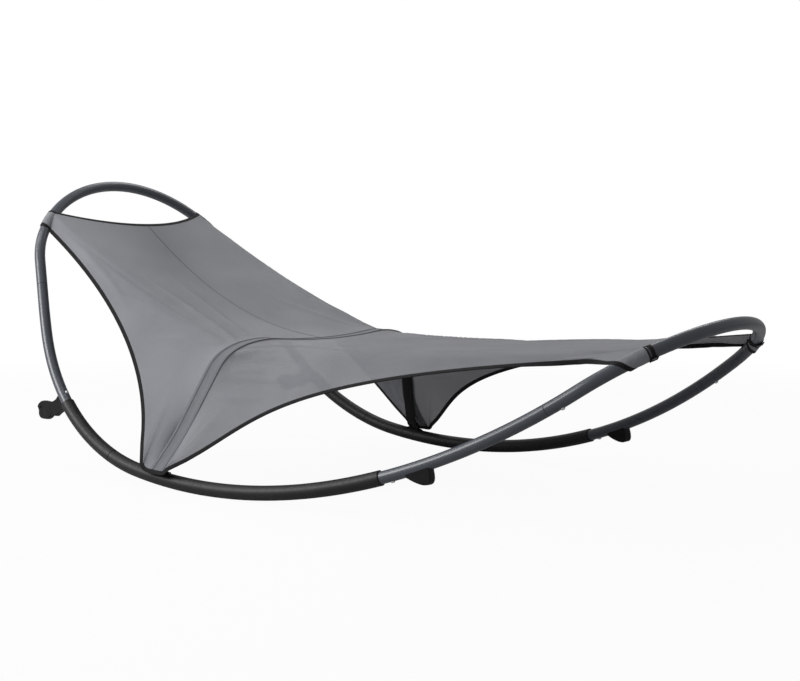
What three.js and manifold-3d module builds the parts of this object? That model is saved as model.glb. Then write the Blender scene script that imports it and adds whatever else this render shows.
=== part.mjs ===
// A rocking chaise lounge: a closed loop of bent tube that rocks on two sleeved runners, with a cloth sling.
// Millimetres and degrees. +Z is up, +X points to the sitter's feet, -Y is the sitter's right.

import * as THREE from 'three';
import { mergeVertices } from 'three/addons/utils/BufferGeometryUtils.js';
import Module from 'manifold-3d';

const wasm = await Module();
wasm.setup();

// Tube, sleeve and fits
const TUBE_DIAMETER = 32;
const TUBE_WALL = 1.5;
const SLEEVE_DIAMETER = 39;
const FIT_GAP = 0.35;
const JOINT_GAP = 0.6;
const TUBE_SIDES = 12;
const BORE_SIDES = 8;
const PIVOT_SIDES = 12;

// Side profile of the loop, as arcs that start at the floor contact
const ROCKER_RADIUS = 1807;
const ROCKER_HEAD_SWEEP = 8.9;
const ROCKER_FOOT_SWEEP = 34.1;
const HEAD_BEND_RADIUS = 691;
const HEAD_BEND_SWEEP = 52.5;

// Flat drawing of one half of the loop, as arcs that start at its widest point
const LOOP_HALF_WIDTH = 548;
const WIDEST_TO_CONTACT = 304;
const HEAD_SIDE_RADIUS = 2610;
const HEAD_SIDE_SWEEP = 15.8;
const HEAD_SIDE_STRAIGHT = 150;
const HEAD_CORNER_RADIUS = 287;
const HEAD_CORNER_SWEEP = 22;
const FOOT_SIDE_RADIUS = 5170;
const FOOT_SIDE_SWEEP = 12.9;
const FOOT_SIDE_STRAIGHT = 249;
const FOOT_CORNER_RADIUS = 286;
const FOOT_CORNER_SWEEP = 34.8;

// Places along the tube from the floor contact, towards the foot
const HEAD_JOINT_AT = -1088;
const UPPER_SLEEVE_AT = -664;
const RAIL_JOINT_AT = -397;
const RING_AT = -190;
const SLEEVE_END_AT = 549;
const FOOT_JOINT_AT = 1017;
const HEAD_POCKET_AT = -1364;
const HEAD_POCKET_LENGTH = 61;
const FOOT_POCKET_AT = 1235;
const FOOT_POCKET_LENGTH = 46;
const FOOT_BAND_AT = 1292;
const HEAD_STOPPER_AT = -700;
const FOOT_STOPPER_AT = 656;

// Spacing of the tube's facets
const RAIL_STEP = 96;
const BOW_STEP = 55;

// Joint stubs and screws
const SPIGOT_LENGTH = 110;
const SPIGOT_WALL = 2;
const SCREW_DIAMETER = 6;
const SCREW_HEAD_DIAMETER = 11;
const SCREW_HEAD_HEIGHT = 3.2;
const SCREW_INSET = 37;
const SLEEVE_SCREW_INSET = 30;
const SCREW_SIDES = 10;

// Head stopper: a hammer-headed arm in the plane of the tube and its outer side
const HEAD_STOPPER_THICKNESS = 16;
const HEAD_STOPPER_REACH = 133;
const HEAD_STOPPER_HOLE = 6;
const STOPPER_BOLT_OFFSET = 8;

// Foot stopper: a fin under the tube
const FOOT_STOPPER_THICKNESS = 27;
const FOOT_STOPPER_LENGTH = 68;
const FOOT_STOPPER_DEPTH = 33;
const STOPPER_BEVEL = 2;

// Sling
const CLOTH_THICKNESS = 1.6;
const SEAM_GAP = 1;
const BINDING_WIDTH = 9;
const BINDING_INSET = 14;
const BINDING_THICKNESS = 3;
const SEAT_FOLD_HEIGHT = 397;
const FOLD_TO_CONTACT = 72;
const FOLD_BEND_SETBACK = 28;
const FOLD_HALF_SPAN = 381;
const FOLD_BEND_RISE = 82;
const FOLD_BEND_RUN = 149;
const FOLD_SAG = 12;
const CHANNEL_WIDTH = 43;
const TIP_FORWARD = 14;
const TIP_OUT = 26;
const TIP_RISE = 18;
const TIP_HEADWARD = 51;
const TIP_FOOTWARD = 33;
const TIP_CORNER_RISE = 18;
const HEAD_EDGE_SAG = 87;
const HEAD_EDGE_DIP = 33;
const FOOT_EDGE_SAG = 57;
const FOOT_EDGE_RISE = 8;
const BACK_SAG = 63;
const SEAT_SAG = 23;
const BACK_CREASE_SAG = 12;
const SEAT_CREASE_SAG = 20;
const POCKET_CLOTH = 2;
const POCKET_LIFT_ANGLE = 60;
const STRAIGHT_COLUMNS = 3;
const BEND_COLUMNS = 3;
const MIDDLE_COLUMNS = 6;
const BACK_ROWS = 14;
const SEAT_ROWS = 18;
const TIP_ROWS = 2;
const EDGE_ROUNDS = 30;
const RELAX_ROUNDS = 120;
const SOFTEN_ROUNDS = 1;

// Cross strap, its rings and their brackets
const STRAP_WIDTH = 38;
const STRAP_THICKNESS = 2.4;
const STRAP_GAP = 1.6;
const STRAP_MEETS_CLOTH = 97;
const RING_WIRE = 5;
const RING_BEVEL = 1.3;
const RING_WIDTH = 52;
const RING_HEIGHT = 21;
const RING_CORNER = 7;
const RING_LEAN = 38;
const RING_CLEARANCE = 1;
const BRACKET_PLATE = 2;
const BRACKET_WIDTH = 24;
const EAR_THICKNESS = 4;
const EAR_RIM = 2.4;
const LOOP_LENGTH = 22;

// Foot band and its slide
const BAND_WIDTH = 19;
const BAND_THICKNESS = 1.8;
const SLIDE_WIDTH = 33;
const SLIDE_LENGTH = 21;
const SLIDE_THICKNESS = 3;
const SLIDE_RIM = 3.5;

const RADIAN = Math.PI / 180;
const OVERRUN = TUBE_DIAMETER;

const tubeRadius = TUBE_DIAMETER / 2;
const boreRadius = tubeRadius - TUBE_WALL;
const sleeveRadius = SLEEVE_DIAMETER / 2;

const colours = {
  steel: { color: 0x464a52, roughness: 0.42, metalness: 0.35 },
  sleeve: { color: 0x232326, roughness: 0.7, metalness: 0 },
  plastic: { color: 0x17171a, roughness: 0.6, metalness: 0 },
  cloth: { color: 0x77797f, roughness: 0.95, metalness: 0 },
  webbing: { color: 0x131315, roughness: 0.9, metalness: 0 },
  zinc: { color: 0xb9bcc2, roughness: 0.3, metalness: 0.9 },
};

const root = new THREE.Group();

function add(name, geometry, finish) {
  const mesh = new THREE.Mesh(geometry, new THREE.MeshStandardMaterial(finish));
  mesh.name = name;
  root.add(mesh);
  return mesh;
}

// Flat chains of arcs and straights

const arc = (radius, sweep) => ({ length: radius * sweep * RADIAN, bend: 1 / radius });
const straight = (length) => ({ length, bend: 0 });

// Walks a chain from its start, heading along x and turning left, and gives the place at a distance.
function walk(legs, distance) {
  let x = 0;
  let y = 0;
  let heading = 0;
  let left = distance;
  for (const [index, leg] of legs.entries()) {
    const step = index === legs.length - 1 ? left : Math.min(left, leg.length);
    const turn = step * leg.bend;
    if (leg.bend === 0) {
      x += step * Math.cos(heading);
      y += step * Math.sin(heading);
    } else {
      x += (Math.sin(heading + turn) - Math.sin(heading)) / leg.bend;
      y += (Math.cos(heading) - Math.cos(heading + turn)) / leg.bend;
    }
    heading += turn;
    left -= step;
    if (left <= 0) break;
  }
  return { x, y, heading };
}

const chainLength = (legs) => legs.reduce((sum, leg) => sum + leg.length, 0);

const footProfile = [arc(ROCKER_RADIUS, ROCKER_FOOT_SWEEP), straight(ROCKER_RADIUS)];
const headProfile = [arc(ROCKER_RADIUS, ROCKER_HEAD_SWEEP), arc(HEAD_BEND_RADIUS, HEAD_BEND_SWEEP),
  straight(ROCKER_RADIUS)];

// The side profile at a rolled-out distance from the floor contact: place and slope in the x-z plane.
function sideProfile(distance) {
  const towardsFoot = distance >= 0;
  const { x, y, heading } = walk(towardsFoot ? footProfile : headProfile, Math.abs(distance));
  return towardsFoot ? { x, z: y, slope: heading } : { x: -x, z: y, slope: -heading };
}

// One end of the flat drawing, closed by a crown arc that meets the middle line square.
function halfOutline(sideRadius, sideSweep, sideStraight, cornerRadius, cornerSweep) {
  const legs = [arc(sideRadius, sideSweep), straight(sideStraight), arc(cornerRadius, cornerSweep)];
  const crownSweep = 90 - sideSweep - cornerSweep;
  const inset = walk(legs, chainLength(legs)).y;
  const crownRadius = (LOOP_HALF_WIDTH - inset) / Math.sin(crownSweep * RADIAN);
  return [...legs, arc(crownRadius, crownSweep)];
}

const headOutline = halfOutline(HEAD_SIDE_RADIUS, HEAD_SIDE_SWEEP, HEAD_SIDE_STRAIGHT,
  HEAD_CORNER_RADIUS, HEAD_CORNER_SWEEP);
const footOutline = halfOutline(FOOT_SIDE_RADIUS, FOOT_SIDE_SWEEP, FOOT_SIDE_STRAIGHT,
  FOOT_CORNER_RADIUS, FOOT_CORNER_SWEEP);

const contactFromWidest = FOOT_SIDE_RADIUS * Math.asin(WIDEST_TO_CONTACT / FOOT_SIDE_RADIUS);
const headCrownAt = -chainLength(headOutline) - contactFromWidest;
const footCrownAt = chainLength(footOutline) - contactFromWidest;

// Frame of the right half of the loop at a place along the tube. The flat drawing is rolled onto the side
// profile, so a length in the drawing is a length of tube, and the normal is the side profile's outer side.
function exactFrame(place) {
  const fromWidest = place + contactFromWidest;
  const towardsFoot = fromWidest >= 0;
  const flat = walk(towardsFoot ? footOutline : headOutline, Math.abs(fromWidest));
  const along = towardsFoot ? flat.x : -flat.x;
  const { x, z, slope } = sideProfile(along - WIDEST_TO_CONTACT);
  const turn = towardsFoot ? flat.heading : -flat.heading;
  const centre = new THREE.Vector3(x, flat.y - LOOP_HALF_WIDTH, z);
  const tangent = new THREE.Vector3(Math.cos(turn) * Math.cos(slope), Math.sin(turn),
    Math.cos(turn) * Math.sin(slope));
  const normal = new THREE.Vector3(Math.sin(slope), 0, -Math.cos(slope));
  return { place, centre, tangent, normal, binormal: tangent.clone().cross(normal) };
}

function evenly(from, to, step) {
  const count = Math.ceil((to - from) / step);
  return Array.from({ length: count + 1 }, (_, index) => from + ((to - from) * index) / count);
}

// Facet stations, counted both ways from the floor contact so that the lowest facet lies level.
const railStations = [];
for (let place = RAIL_STEP / 2; place < FOOT_JOINT_AT - RAIL_STEP / 3; place += RAIL_STEP) {
  railStations.push(place);
}
for (let place = -RAIL_STEP / 2; place > HEAD_JOINT_AT + RAIL_STEP / 3; place -= RAIL_STEP) {
  railStations.unshift(place);
}
const stations = [...evenly(headCrownAt, HEAD_JOINT_AT, BOW_STEP), ...railStations,
  ...evenly(FOOT_JOINT_AT, footCrownAt, BOW_STEP)].map(exactFrame);

const mix = (from, to, share) => from.clone().lerp(to, share);

// Frame on the facets: between two stations it is their straight mix, so pieces round a tube stay concentric.
function frameAt(place) {
  let index = stations.findIndex((station) => station.place >= place);
  if (index < 0) index = stations.length - 1;
  const after = stations[Math.max(index, 1)];
  const before = stations[Math.max(index, 1) - 1];
  const share = (place - before.place) / (after.place - before.place);
  return {
    place,
    centre: mix(before.centre, after.centre, share),
    tangent: mix(before.tangent, after.tangent, share),
    normal: mix(before.normal, after.normal, share),
    binormal: mix(before.binormal, after.binormal, share),
  };
}

const flipY = (vector) => new THREE.Vector3(vector.x, -vector.y, vector.z);

// The same frame on the left half; its binormal turns over so that the frame stays right-handed.
const mirrored = (frame) => ({
  place: frame.place,
  centre: flipY(frame.centre),
  tangent: flipY(frame.tangent),
  normal: flipY(frame.normal),
  binormal: flipY(frame.binormal).negate(),
});

// The same frame looked at the other way along the tube.
const reversed = (frame) => ({
  place: frame.place,
  centre: frame.centre,
  tangent: frame.tangent.clone().negate(),
  normal: frame.normal,
  binormal: frame.binormal.clone().negate(),
});

const sides = {
  right: { frame: (place) => frameAt(place) },
  left: { frame: (place) => mirrored(frameAt(place)) },
};

function framesBetween(from, to) {
  const inside = stations.map((station) => station.place).filter((place) => place > from && place < to);
  return [from, ...inside, to].map(frameAt);
}

// Sweeps

class FramedPath extends THREE.Curve {
  constructor(frames) {
    super();
    this.frames = frames;
  }

  getSpacedPoints() {
    return this.frames.map((frame) => frame.centre.clone());
  }

  computeFrenetFrames() {
    return {
      tangents: this.frames.map((frame) => frame.tangent),
      normals: this.frames.map((frame) => frame.normal),
      binormals: this.frames.map((frame) => frame.binormal),
    };
  }
}

function sweep(frames, shape) {
  return new THREE.ExtrudeGeometry(shape, { steps: frames.length - 1, extrudePath: new FramedPath(frames) });
}

// Corners of a regular outline whose flats lie at a distance from the middle, one flat square to the normal.
function flatsOutline(distance, count) {
  const radius = distance / Math.cos(Math.PI / count);
  return Array.from({ length: count }, (_, index) => {
    const angle = ((index + 0.5) * 2 * Math.PI) / count;
    return new THREE.Vector2(radius * Math.cos(angle), radius * Math.sin(angle));
  });
}

// A round bore's outline, with its corners on the bore.
const boreOutline = (radius) => flatsOutline(radius * Math.cos(Math.PI / BORE_SIDES), BORE_SIDES);

function hollowShape(outer, inner) {
  const shape = new THREE.Shape(outer);
  shape.holes.push(new THREE.Path(inner));
  return shape;
}

const tubeShape = hollowShape(flatsOutline(tubeRadius, TUBE_SIDES), boreOutline(boreRadius));
const sleeveShape = hollowShape(flatsOutline(sleeveRadius, TUBE_SIDES),
  flatsOutline(tubeRadius + FIT_GAP, TUBE_SIDES));

function wrapShape(thickness, under = tubeRadius) {
  return hollowShape(flatsOutline(under + FIT_GAP + thickness, TUBE_SIDES),
    flatsOutline(under + FIT_GAP, TUBE_SIDES));
}

const rectangle = (width, height) => new THREE.Shape([
  new THREE.Vector2(-height / 2, -width / 2), new THREE.Vector2(height / 2, -width / 2),
  new THREE.Vector2(height / 2, width / 2), new THREE.Vector2(-height / 2, width / 2)]);

// Corner points of a rounded rectangle.
function roundedCorners(length, width, radius) {
  const shape = new THREE.Shape();
  const x = length / 2 - radius;
  const y = width / 2 - radius;
  shape.absarc(x, y, radius, 0, Math.PI / 2);
  shape.absarc(-x, y, radius, Math.PI / 2, Math.PI);
  shape.absarc(-x, -y, radius, Math.PI, (3 * Math.PI) / 2);
  shape.absarc(x, -y, radius, (3 * Math.PI) / 2, 2 * Math.PI);
  return shape.getPoints(2);
}

// Booleans

function toSolid(geometry) {
  const bare = geometry.clone();
  bare.deleteAttribute('normal');
  bare.deleteAttribute('uv');
  const merged = mergeVertices(bare, TUBE_WALL * 1e-4);
  return new wasm.Manifold(new wasm.Mesh({
    numProp: 3,
    vertProperties: new Float32Array(merged.attributes.position.array),
    triVerts: new Uint32Array(merged.index.array),
  }));
}

function toGeometry(solid) {
  const mesh = solid.getMesh();
  const geometry = new THREE.BufferGeometry();
  geometry.setAttribute('position', new THREE.BufferAttribute(mesh.vertProperties, 3));
  geometry.setIndex(new THREE.BufferAttribute(mesh.triVerts, 1));
  return geometry;
}

const cut = (geometry, ...tools) => toGeometry(
  tools.reduce((solid, tool) => solid.subtract(toSolid(tool)), toSolid(geometry)));

// Moves a shape's own axes onto a frame: x along the tube, y square to it, z out along a direction.
function placed(geometry, origin, along, outward) {
  const x = along.clone().normalize();
  const z = outward.clone().addScaledVector(x, -outward.dot(x)).normalize();
  const y = z.clone().cross(x);
  return geometry.clone().applyMatrix4(new THREE.Matrix4().makeBasis(x, y, z).setPosition(origin));
}

// Frame: tubes, stubs and sleeves

function railRun(side, from, to, shape) {
  const frames = framesBetween(from, to);
  return sweep(side === 'left' ? frames.map(mirrored) : frames, shape);
}

// A bow runs from the right half over the crown to the left half.
function bowRun(crownAt, jointAt, shape) {
  const rightHalf = framesBetween(Math.min(crownAt, jointAt), Math.max(crownAt, jointAt));
  const ordered = crownAt < jointAt ? rightHalf.reverse().map(reversed) : rightHalf;
  const leftHalf = [...ordered].reverse().slice(1).map((frame) => reversed(mirrored(frame)));
  return sweep([...ordered, ...leftHalf], shape);
}

// A screw stands on a wrap of the tube's radius with its shank inwards.
function screwProfile(grip) {
  const head = SCREW_HEAD_DIAMETER / 2;
  const shank = SCREW_DIAMETER / 2;
  return [[0, -grip], [shank, -grip], [shank, 0], [head, 0], [head, SCREW_HEAD_HEIGHT / 2],
    [head / 2, SCREW_HEAD_HEIGHT], [0, SCREW_HEAD_HEIGHT]].map(([x, y]) => new THREE.Vector2(x, y));
}

function screwGeometry(frame, outward, grip) {
  const lathe = new THREE.LatheGeometry(screwProfile(grip), SCREW_SIDES).rotateX(Math.PI / 2);
  const seat = frame.centre.clone().addScaledVector(outward.clone().normalize(), tubeRadius + FIT_GAP);
  return placed(lathe, seat, frame.tangent, outward);
}

function screwHole(frame, outward, depth) {
  const radius = SCREW_DIAMETER / 2 + FIT_GAP;
  const hole = new THREE.CylinderGeometry(radius, radius, depth, SCREW_SIDES).rotateX(Math.PI / 2);
  const middle = frame.centre.clone().addScaledVector(outward.clone().normalize(), tubeRadius);
  return placed(hole, middle, frame.tangent, outward);
}

const spigotRadius = boreRadius - FIT_GAP / Math.cos(Math.PI / BORE_SIDES);
const spigotShape = hollowShape(boreOutline(spigotRadius), boreOutline(spigotRadius - SPIGOT_WALL));
const jointGrip = TUBE_WALL + SPIGOT_WALL + SPIGOT_WALL;
const jointHoleDepth = 4 * jointGrip;
const boltGrip = TUBE_DIAMETER - TUBE_WALL;
const boltHoleDepth = 2 * boltGrip + TUBE_WALL;

const headScrewAt = HEAD_JOINT_AT - SCREW_INSET;
const footScrewAt = FOOT_JOINT_AT + SCREW_INSET;
const sleeveScrewAt = SLEEVE_END_AT + SLEEVE_SCREW_INSET;
const stopperBoltAt = HEAD_STOPPER_AT + STOPPER_BOLT_OFFSET;

const bowHoles = (place) => Object.values(sides).map(({ frame }) =>
  screwHole(frame(place), frame(place).normal, jointHoleDepth));

add('head_bow', cut(bowRun(headCrownAt, HEAD_JOINT_AT - JOINT_GAP / 2, tubeShape), ...bowHoles(headScrewAt)),
  colours.steel);
add('foot_bow', cut(bowRun(footCrownAt, FOOT_JOINT_AT + JOINT_GAP / 2, tubeShape), ...bowHoles(footScrewAt)),
  colours.steel);

for (const [side, { frame }] of Object.entries(sides)) {
  const bolt = frame(stopperBoltAt);
  const sleeveScrew = frame(sleeveScrewAt);
  const boltOutward = bolt.normal.clone().negate();
  const headRail = railRun(side, HEAD_JOINT_AT + JOINT_GAP / 2, RAIL_JOINT_AT - JOINT_GAP / 2, tubeShape);
  const rockerRail = railRun(side, RAIL_JOINT_AT + JOINT_GAP / 2, FOOT_JOINT_AT - JOINT_GAP / 2, tubeShape);
  add(`head_rail_${side}`, cut(headRail, screwHole(bolt, boltOutward, boltHoleDepth)), colours.steel);
  add(`rocker_rail_${side}`, cut(rockerRail, screwHole(sleeveScrew, sleeveScrew.normal, jointHoleDepth)),
    colours.steel);
  for (const [name, jointAt, screwAt] of [['head', HEAD_JOINT_AT, headScrewAt],
    ['rail', RAIL_JOINT_AT, null], ['foot', FOOT_JOINT_AT, footScrewAt]]) {
    const spigot = railRun(side, jointAt - SPIGOT_LENGTH / 2, jointAt + SPIGOT_LENGTH / 2, spigotShape);
    if (screwAt === null) {
      add(`${name}_spigot_${side}`, spigot, colours.steel);
      continue;
    }
    const screwFrame = frame(screwAt);
    add(`${name}_spigot_${side}`, cut(spigot, screwHole(screwFrame, screwFrame.normal, jointHoleDepth)),
      colours.steel);
    add(`${name}_joint_screw_${side}`, screwGeometry(screwFrame, screwFrame.normal, jointGrip),
      colours.zinc);
  }
  add(`sleeve_screw_${side}`, screwGeometry(sleeveScrew, sleeveScrew.normal, jointGrip), colours.zinc);
  add(`upper_sleeve_${side}`, railRun(side, UPPER_SLEEVE_AT, RAIL_JOINT_AT - JOINT_GAP / 2, sleeveShape),
    colours.sleeve);
  add(`runner_sleeve_${side}`, railRun(side, RAIL_JOINT_AT + JOINT_GAP / 2, SLEEVE_END_AT, sleeveShape),
    colours.sleeve);
}

// Stoppers: flat outlines, moulded with rounded edges, and hollowed to sit on the tube

function moulded(shape, thickness) {
  const depth = thickness - 2 * STOPPER_BEVEL;
  return new THREE.ExtrudeGeometry(shape, { depth, bevelThickness: STOPPER_BEVEL, bevelSize: STOPPER_BEVEL,
    bevelOffset: -STOPPER_BEVEL, bevelSegments: 2, curveSegments: 5 }).translate(0, 0, -depth / 2);
}

// The outline's x runs along the tube to the foot and its y out from the tube's axis.
function stopperOn(frame, shape, thickness) {
  const upright = moulded(shape, thickness).rotateX(Math.PI / 2);
  return placed(upright, frame.centre, frame.tangent, frame.normal);
}

// Outline of the head stopper, along the tube and out from it, in shares of its reach.
const headOutlineShares = [
  [0.37, 0], [0.37, 0.13], [0.29, 0.23], [0.24, 0.35], [0.2, 0.5], [0.13, 0.54], [0.07, 0.62],
  [0.05, 0.73], [0.01, 0.82], [-0.07, 0.9], [-0.15, 0.97], [-0.23, 1], [-0.3, 0.99], [-0.36, 0.94],
  [-0.42, 0.93], [-0.47, 0.93], [-0.49, 0.85], [-0.46, 0.74], [-0.39, 0.64], [-0.3, 0.56],
  [-0.2, 0.48], [-0.13, 0.38], [-0.08, 0.26], [-0.08, 0],
];
const holeShares = [-0.36, 0.83];

function headStopperShape() {
  const shape = new THREE.Shape(headOutlineShares.map(([along, out]) =>
    new THREE.Vector2(along, out).multiplyScalar(HEAD_STOPPER_REACH)));
  const hole = new THREE.Path();
  const [along, out] = holeShares.map((share) => share * HEAD_STOPPER_REACH);
  hole.absarc(along, out, HEAD_STOPPER_HOLE / 2, 0, 2 * Math.PI);
  shape.holes.push(hole);
  return shape;
}

const finShares = { end: 0.5, deep: 0.25, heelPull: 0.47, toePull: -0.04, toePullDepth: 0.96 };

function footStopperShape() {
  const along = (share) => FOOT_STOPPER_LENGTH * share;
  const bottom = tubeRadius + FOOT_STOPPER_DEPTH;
  const shape = new THREE.Shape();
  shape.moveTo(-along(finShares.end), 0);
  shape.lineTo(along(finShares.end), 0);
  shape.lineTo(along(finShares.end), tubeRadius);
  shape.quadraticCurveTo(along(finShares.heelPull), bottom, along(finShares.deep), bottom);
  shape.quadraticCurveTo(along(finShares.toePull), bottom * finShares.toePullDepth,
    -along(finShares.end), tubeRadius);
  return shape;
}

const saddleRoom = new THREE.Shape(flatsOutline(tubeRadius + FIT_GAP, TUBE_SIDES));
const sleeveRoom = new THREE.Shape(flatsOutline(sleeveRadius + FIT_GAP, TUBE_SIDES));

for (const [side, { frame }] of Object.entries(sides)) {
  const headFrame = frame(HEAD_STOPPER_AT);
  const footFrame = frame(FOOT_STOPPER_AT);
  const bolt = frame(stopperBoltAt);
  const boltOutward = bolt.normal.clone().negate();
  const headRoom = HEAD_STOPPER_REACH / 2 + OVERRUN;
  const footRoom = FOOT_STOPPER_LENGTH + OVERRUN;
  const room = railRun(side, HEAD_STOPPER_AT - headRoom, HEAD_STOPPER_AT + headRoom, saddleRoom);
  const sleeveEnd = railRun(side, UPPER_SLEEVE_AT - FIT_GAP, HEAD_STOPPER_AT + headRoom, sleeveRoom);
  add(`head_stopper_${side}`,
    cut(stopperOn(headFrame, headStopperShape(), HEAD_STOPPER_THICKNESS), room, sleeveEnd), colours.plastic);
  add(`stopper_bolt_${side}`, screwGeometry(bolt, boltOutward, boltGrip), colours.zinc);
  add(`foot_stopper_${side}`, cut(stopperOn(footFrame, footStopperShape(), FOOT_STOPPER_THICKNESS),
    railRun(side, FOOT_STOPPER_AT - footRoom, FOOT_STOPPER_AT + footRoom, saddleRoom)), colours.plastic);
}

// Sling corners on the right half; the left half mirrors them

const inboardOf = (frame) => frame.binormal.clone().multiplyScalar(-Math.sign(frame.centre.y)).normalize();
const pocketRadius = (tubeRadius + FIT_GAP + POCKET_CLOTH) / Math.cos(Math.PI / TUBE_SIDES)
  + CLOTH_THICKNESS + FIT_GAP;

// Where a panel meets the cloth pocket on a bow: on its upper inner side.
function pocketPoint(place) {
  const frame = frameAt(place);
  const lift = POCKET_LIFT_ANGLE * RADIAN;
  return frame.centre.clone()
    .addScaledVector(inboardOf(frame), pocketRadius * Math.cos(lift))
    .addScaledVector(frame.normal, -pocketRadius * Math.sin(lift));
}

const floorLevel = -sleeveRadius;
const ringFrame = frameAt(RING_AT);
const headCornerTop = pocketPoint(HEAD_POCKET_AT);
const headCornerLow = pocketPoint(HEAD_POCKET_AT + HEAD_POCKET_LENGTH);
const footCornerLow = pocketPoint(FOOT_POCKET_AT);
const footCornerTop = pocketPoint(FOOT_POCKET_AT + FOOT_POCKET_LENGTH);
const foldMiddle = new THREE.Vector3(-FOLD_TO_CONTACT, 0, floorLevel + SEAT_FOLD_HEIGHT);
const foldBend = new THREE.Vector3(-FOLD_TO_CONTACT - FOLD_BEND_SETBACK, -FOLD_HALF_SPAN, foldMiddle.z);
const tip = ringFrame.centre.clone().add(new THREE.Vector3(TIP_FORWARD, -TIP_OUT, TIP_RISE));

// Ring: it leans inwards in line with the strap
const pivotRadius = RING_WIRE / 2 + RING_BEVEL / 4 + FIT_GAP;
const pivotHeight = sleeveRadius + FIT_GAP + BRACKET_PLATE + RING_CLEARANCE + pivotRadius;
const barSpacing = RING_HEIGHT - RING_WIRE;
const lean = RING_LEAN * RADIAN;
const ringUp = (frame) => frame.normal.clone().multiplyScalar(-Math.cos(lean))
  .addScaledVector(inboardOf(frame), Math.sin(lean)).normalize();
const pivotOf = (frame) => frame.centre.clone().addScaledVector(frame.normal, -pivotHeight);
const loopEnd = pivotOf(ringFrame).addScaledVector(ringUp(ringFrame), barSpacing + LOOP_LENGTH);

// The fold's line from the right tip over the seat to the left tip. Above the tip it follows the strap.
function ridgeLine() {
  const rise = loopEnd.clone().sub(foldBend).normalize();
  const across = foldMiddle.clone().sub(foldBend).normalize();
  const flare = loopEnd.clone().addScaledVector(rise, -STRAP_MEETS_CLOTH);
  const start = foldBend.clone().addScaledVector(rise, FOLD_BEND_RISE);
  const end = foldBend.clone().addScaledVector(across, FOLD_BEND_RUN);
  const sagging = new THREE.Vector3(foldMiddle.x, 0, foldMiddle.z - 2 * FOLD_SAG);
  const path = new THREE.CurvePath();
  path.add(new THREE.QuadraticBezierCurve3(tip, mix(flare, loopEnd, 1 / 2), flare));
  path.add(new THREE.LineCurve3(flare, start));
  path.add(new THREE.QuadraticBezierCurve3(start, foldBend, end));
  path.add(new THREE.QuadraticBezierCurve3(end, sagging, flipY(end)));
  path.add(new THREE.QuadraticBezierCurve3(flipY(end), flipY(foldBend), flipY(start)));
  path.add(new THREE.LineCurve3(flipY(start), flipY(flare)));
  path.add(new THREE.QuadraticBezierCurve3(flipY(flare), flipY(mix(flare, loopEnd, 1 / 2)), flipY(tip)));
  return path;
}

const ridge = ridgeLine();
const ridgeLength = ridge.getLength();
const alongX = new THREE.Vector3(1, 0, 0);

const squareTo = (direction, tangent) => direction.clone()
  .addScaledVector(tangent, -direction.dot(tangent)).normalize();

// A frame from a tangent and a normal, with the binormal that makes it right-handed.
function frameOf(centre, tangent, normal) {
  const squared = squareTo(normal, tangent);
  return { centre, tangent, normal: squared, binormal: tangent.clone().cross(squared) };
}

// Frame on the fold's line: normal to the cloth's upper side, binormal towards the foot.
function ridgeFrame(share) {
  const step = FOLD_BEND_RISE / ridgeLength / 6;
  const before = ridge.getPoint(Math.max(share - step, 0));
  const after = ridge.getPoint(Math.min(share + step, 1));
  const tangent = after.sub(before).normalize();
  return frameOf(ridge.getPoint(share), tangent, squareTo(alongX, tangent).cross(tangent));
}

// Where a panel starts beside the channel: towards the head for the back, towards the foot for the seat.
function besideRidge(share, direction) {
  const { centre, binormal } = ridgeFrame(share);
  return centre.addScaledVector(binormal, direction * (CHANNEL_WIDTH / 2 + SEAM_GAP));
}

// A sagging edge between two mirrored corners.
function saggingEdge(corner, sag, dip) {
  const middle = new THREE.Vector3(corner.x + sag, 0, corner.z - dip);
  const control = middle.multiplyScalar(2).sub(mix(corner, flipY(corner), 1 / 2));
  return new THREE.QuadraticBezierCurve3(corner, control, flipY(corner));
}

const headEdge = saggingEdge(headCornerTop, HEAD_EDGE_SAG, HEAD_EDGE_DIP);
const footEdge = saggingEdge(footCornerTop, -FOOT_EDGE_SAG, -FOOT_EDGE_RISE);

// Pull points of the scalloped side edges: along x, y and z, shares of the way from the corner to the tip.
const backPullShares = [[0.84, 0.15, 0.56], [0.87, 0.94, 0.93]];
const tipShare = 0.04;
const rowPace = 1.25;
const seatPullShares = [[0.85, 0.41, 0.27], [0.8, 0.52, 0.65]];

const partWay = (from, to, shares) => to.clone().sub(from)
  .multiply(new THREE.Vector3(...shares)).add(from);

function sideEdge(corner, pullShares, direction, reach) {
  const start = besideRidge(0, direction);
  const side = tip.clone().add(new THREE.Vector3(direction * reach, 0, TIP_CORNER_RISE));
  const low = new THREE.Vector3(side.x, start.y, start.z);
  const [near, far] = pullShares.map((shares) => partWay(corner, tip, shares));
  const path = new THREE.CurvePath();
  path.add(new THREE.QuadraticBezierCurve3(start, low, side));
  path.add(new THREE.CubicBezierCurve3(side, far, near, corner));
  return path;
}

const backEdge = sideEdge(headCornerLow, backPullShares, -1, TIP_HEADWARD);
const seatEdge = sideEdge(footCornerLow, seatPullShares, 1, TIP_FOOTWARD);

const spread = (from, to, count) => Array.from({ length: count + 1 },
  (_, index) => from + ((to - from) * index) / count);

// How far a grid row lies from the fold, in shares. Two rows go round the tip, and the next start close.
function rowShare(row, rows) {
  if (row <= TIP_ROWS) return (tipShare * row) / TIP_ROWS;
  return tipShare + (1 - tipShare) * ((row - TIP_ROWS) / (rows - TIP_ROWS)) ** rowPace;
}

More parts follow.
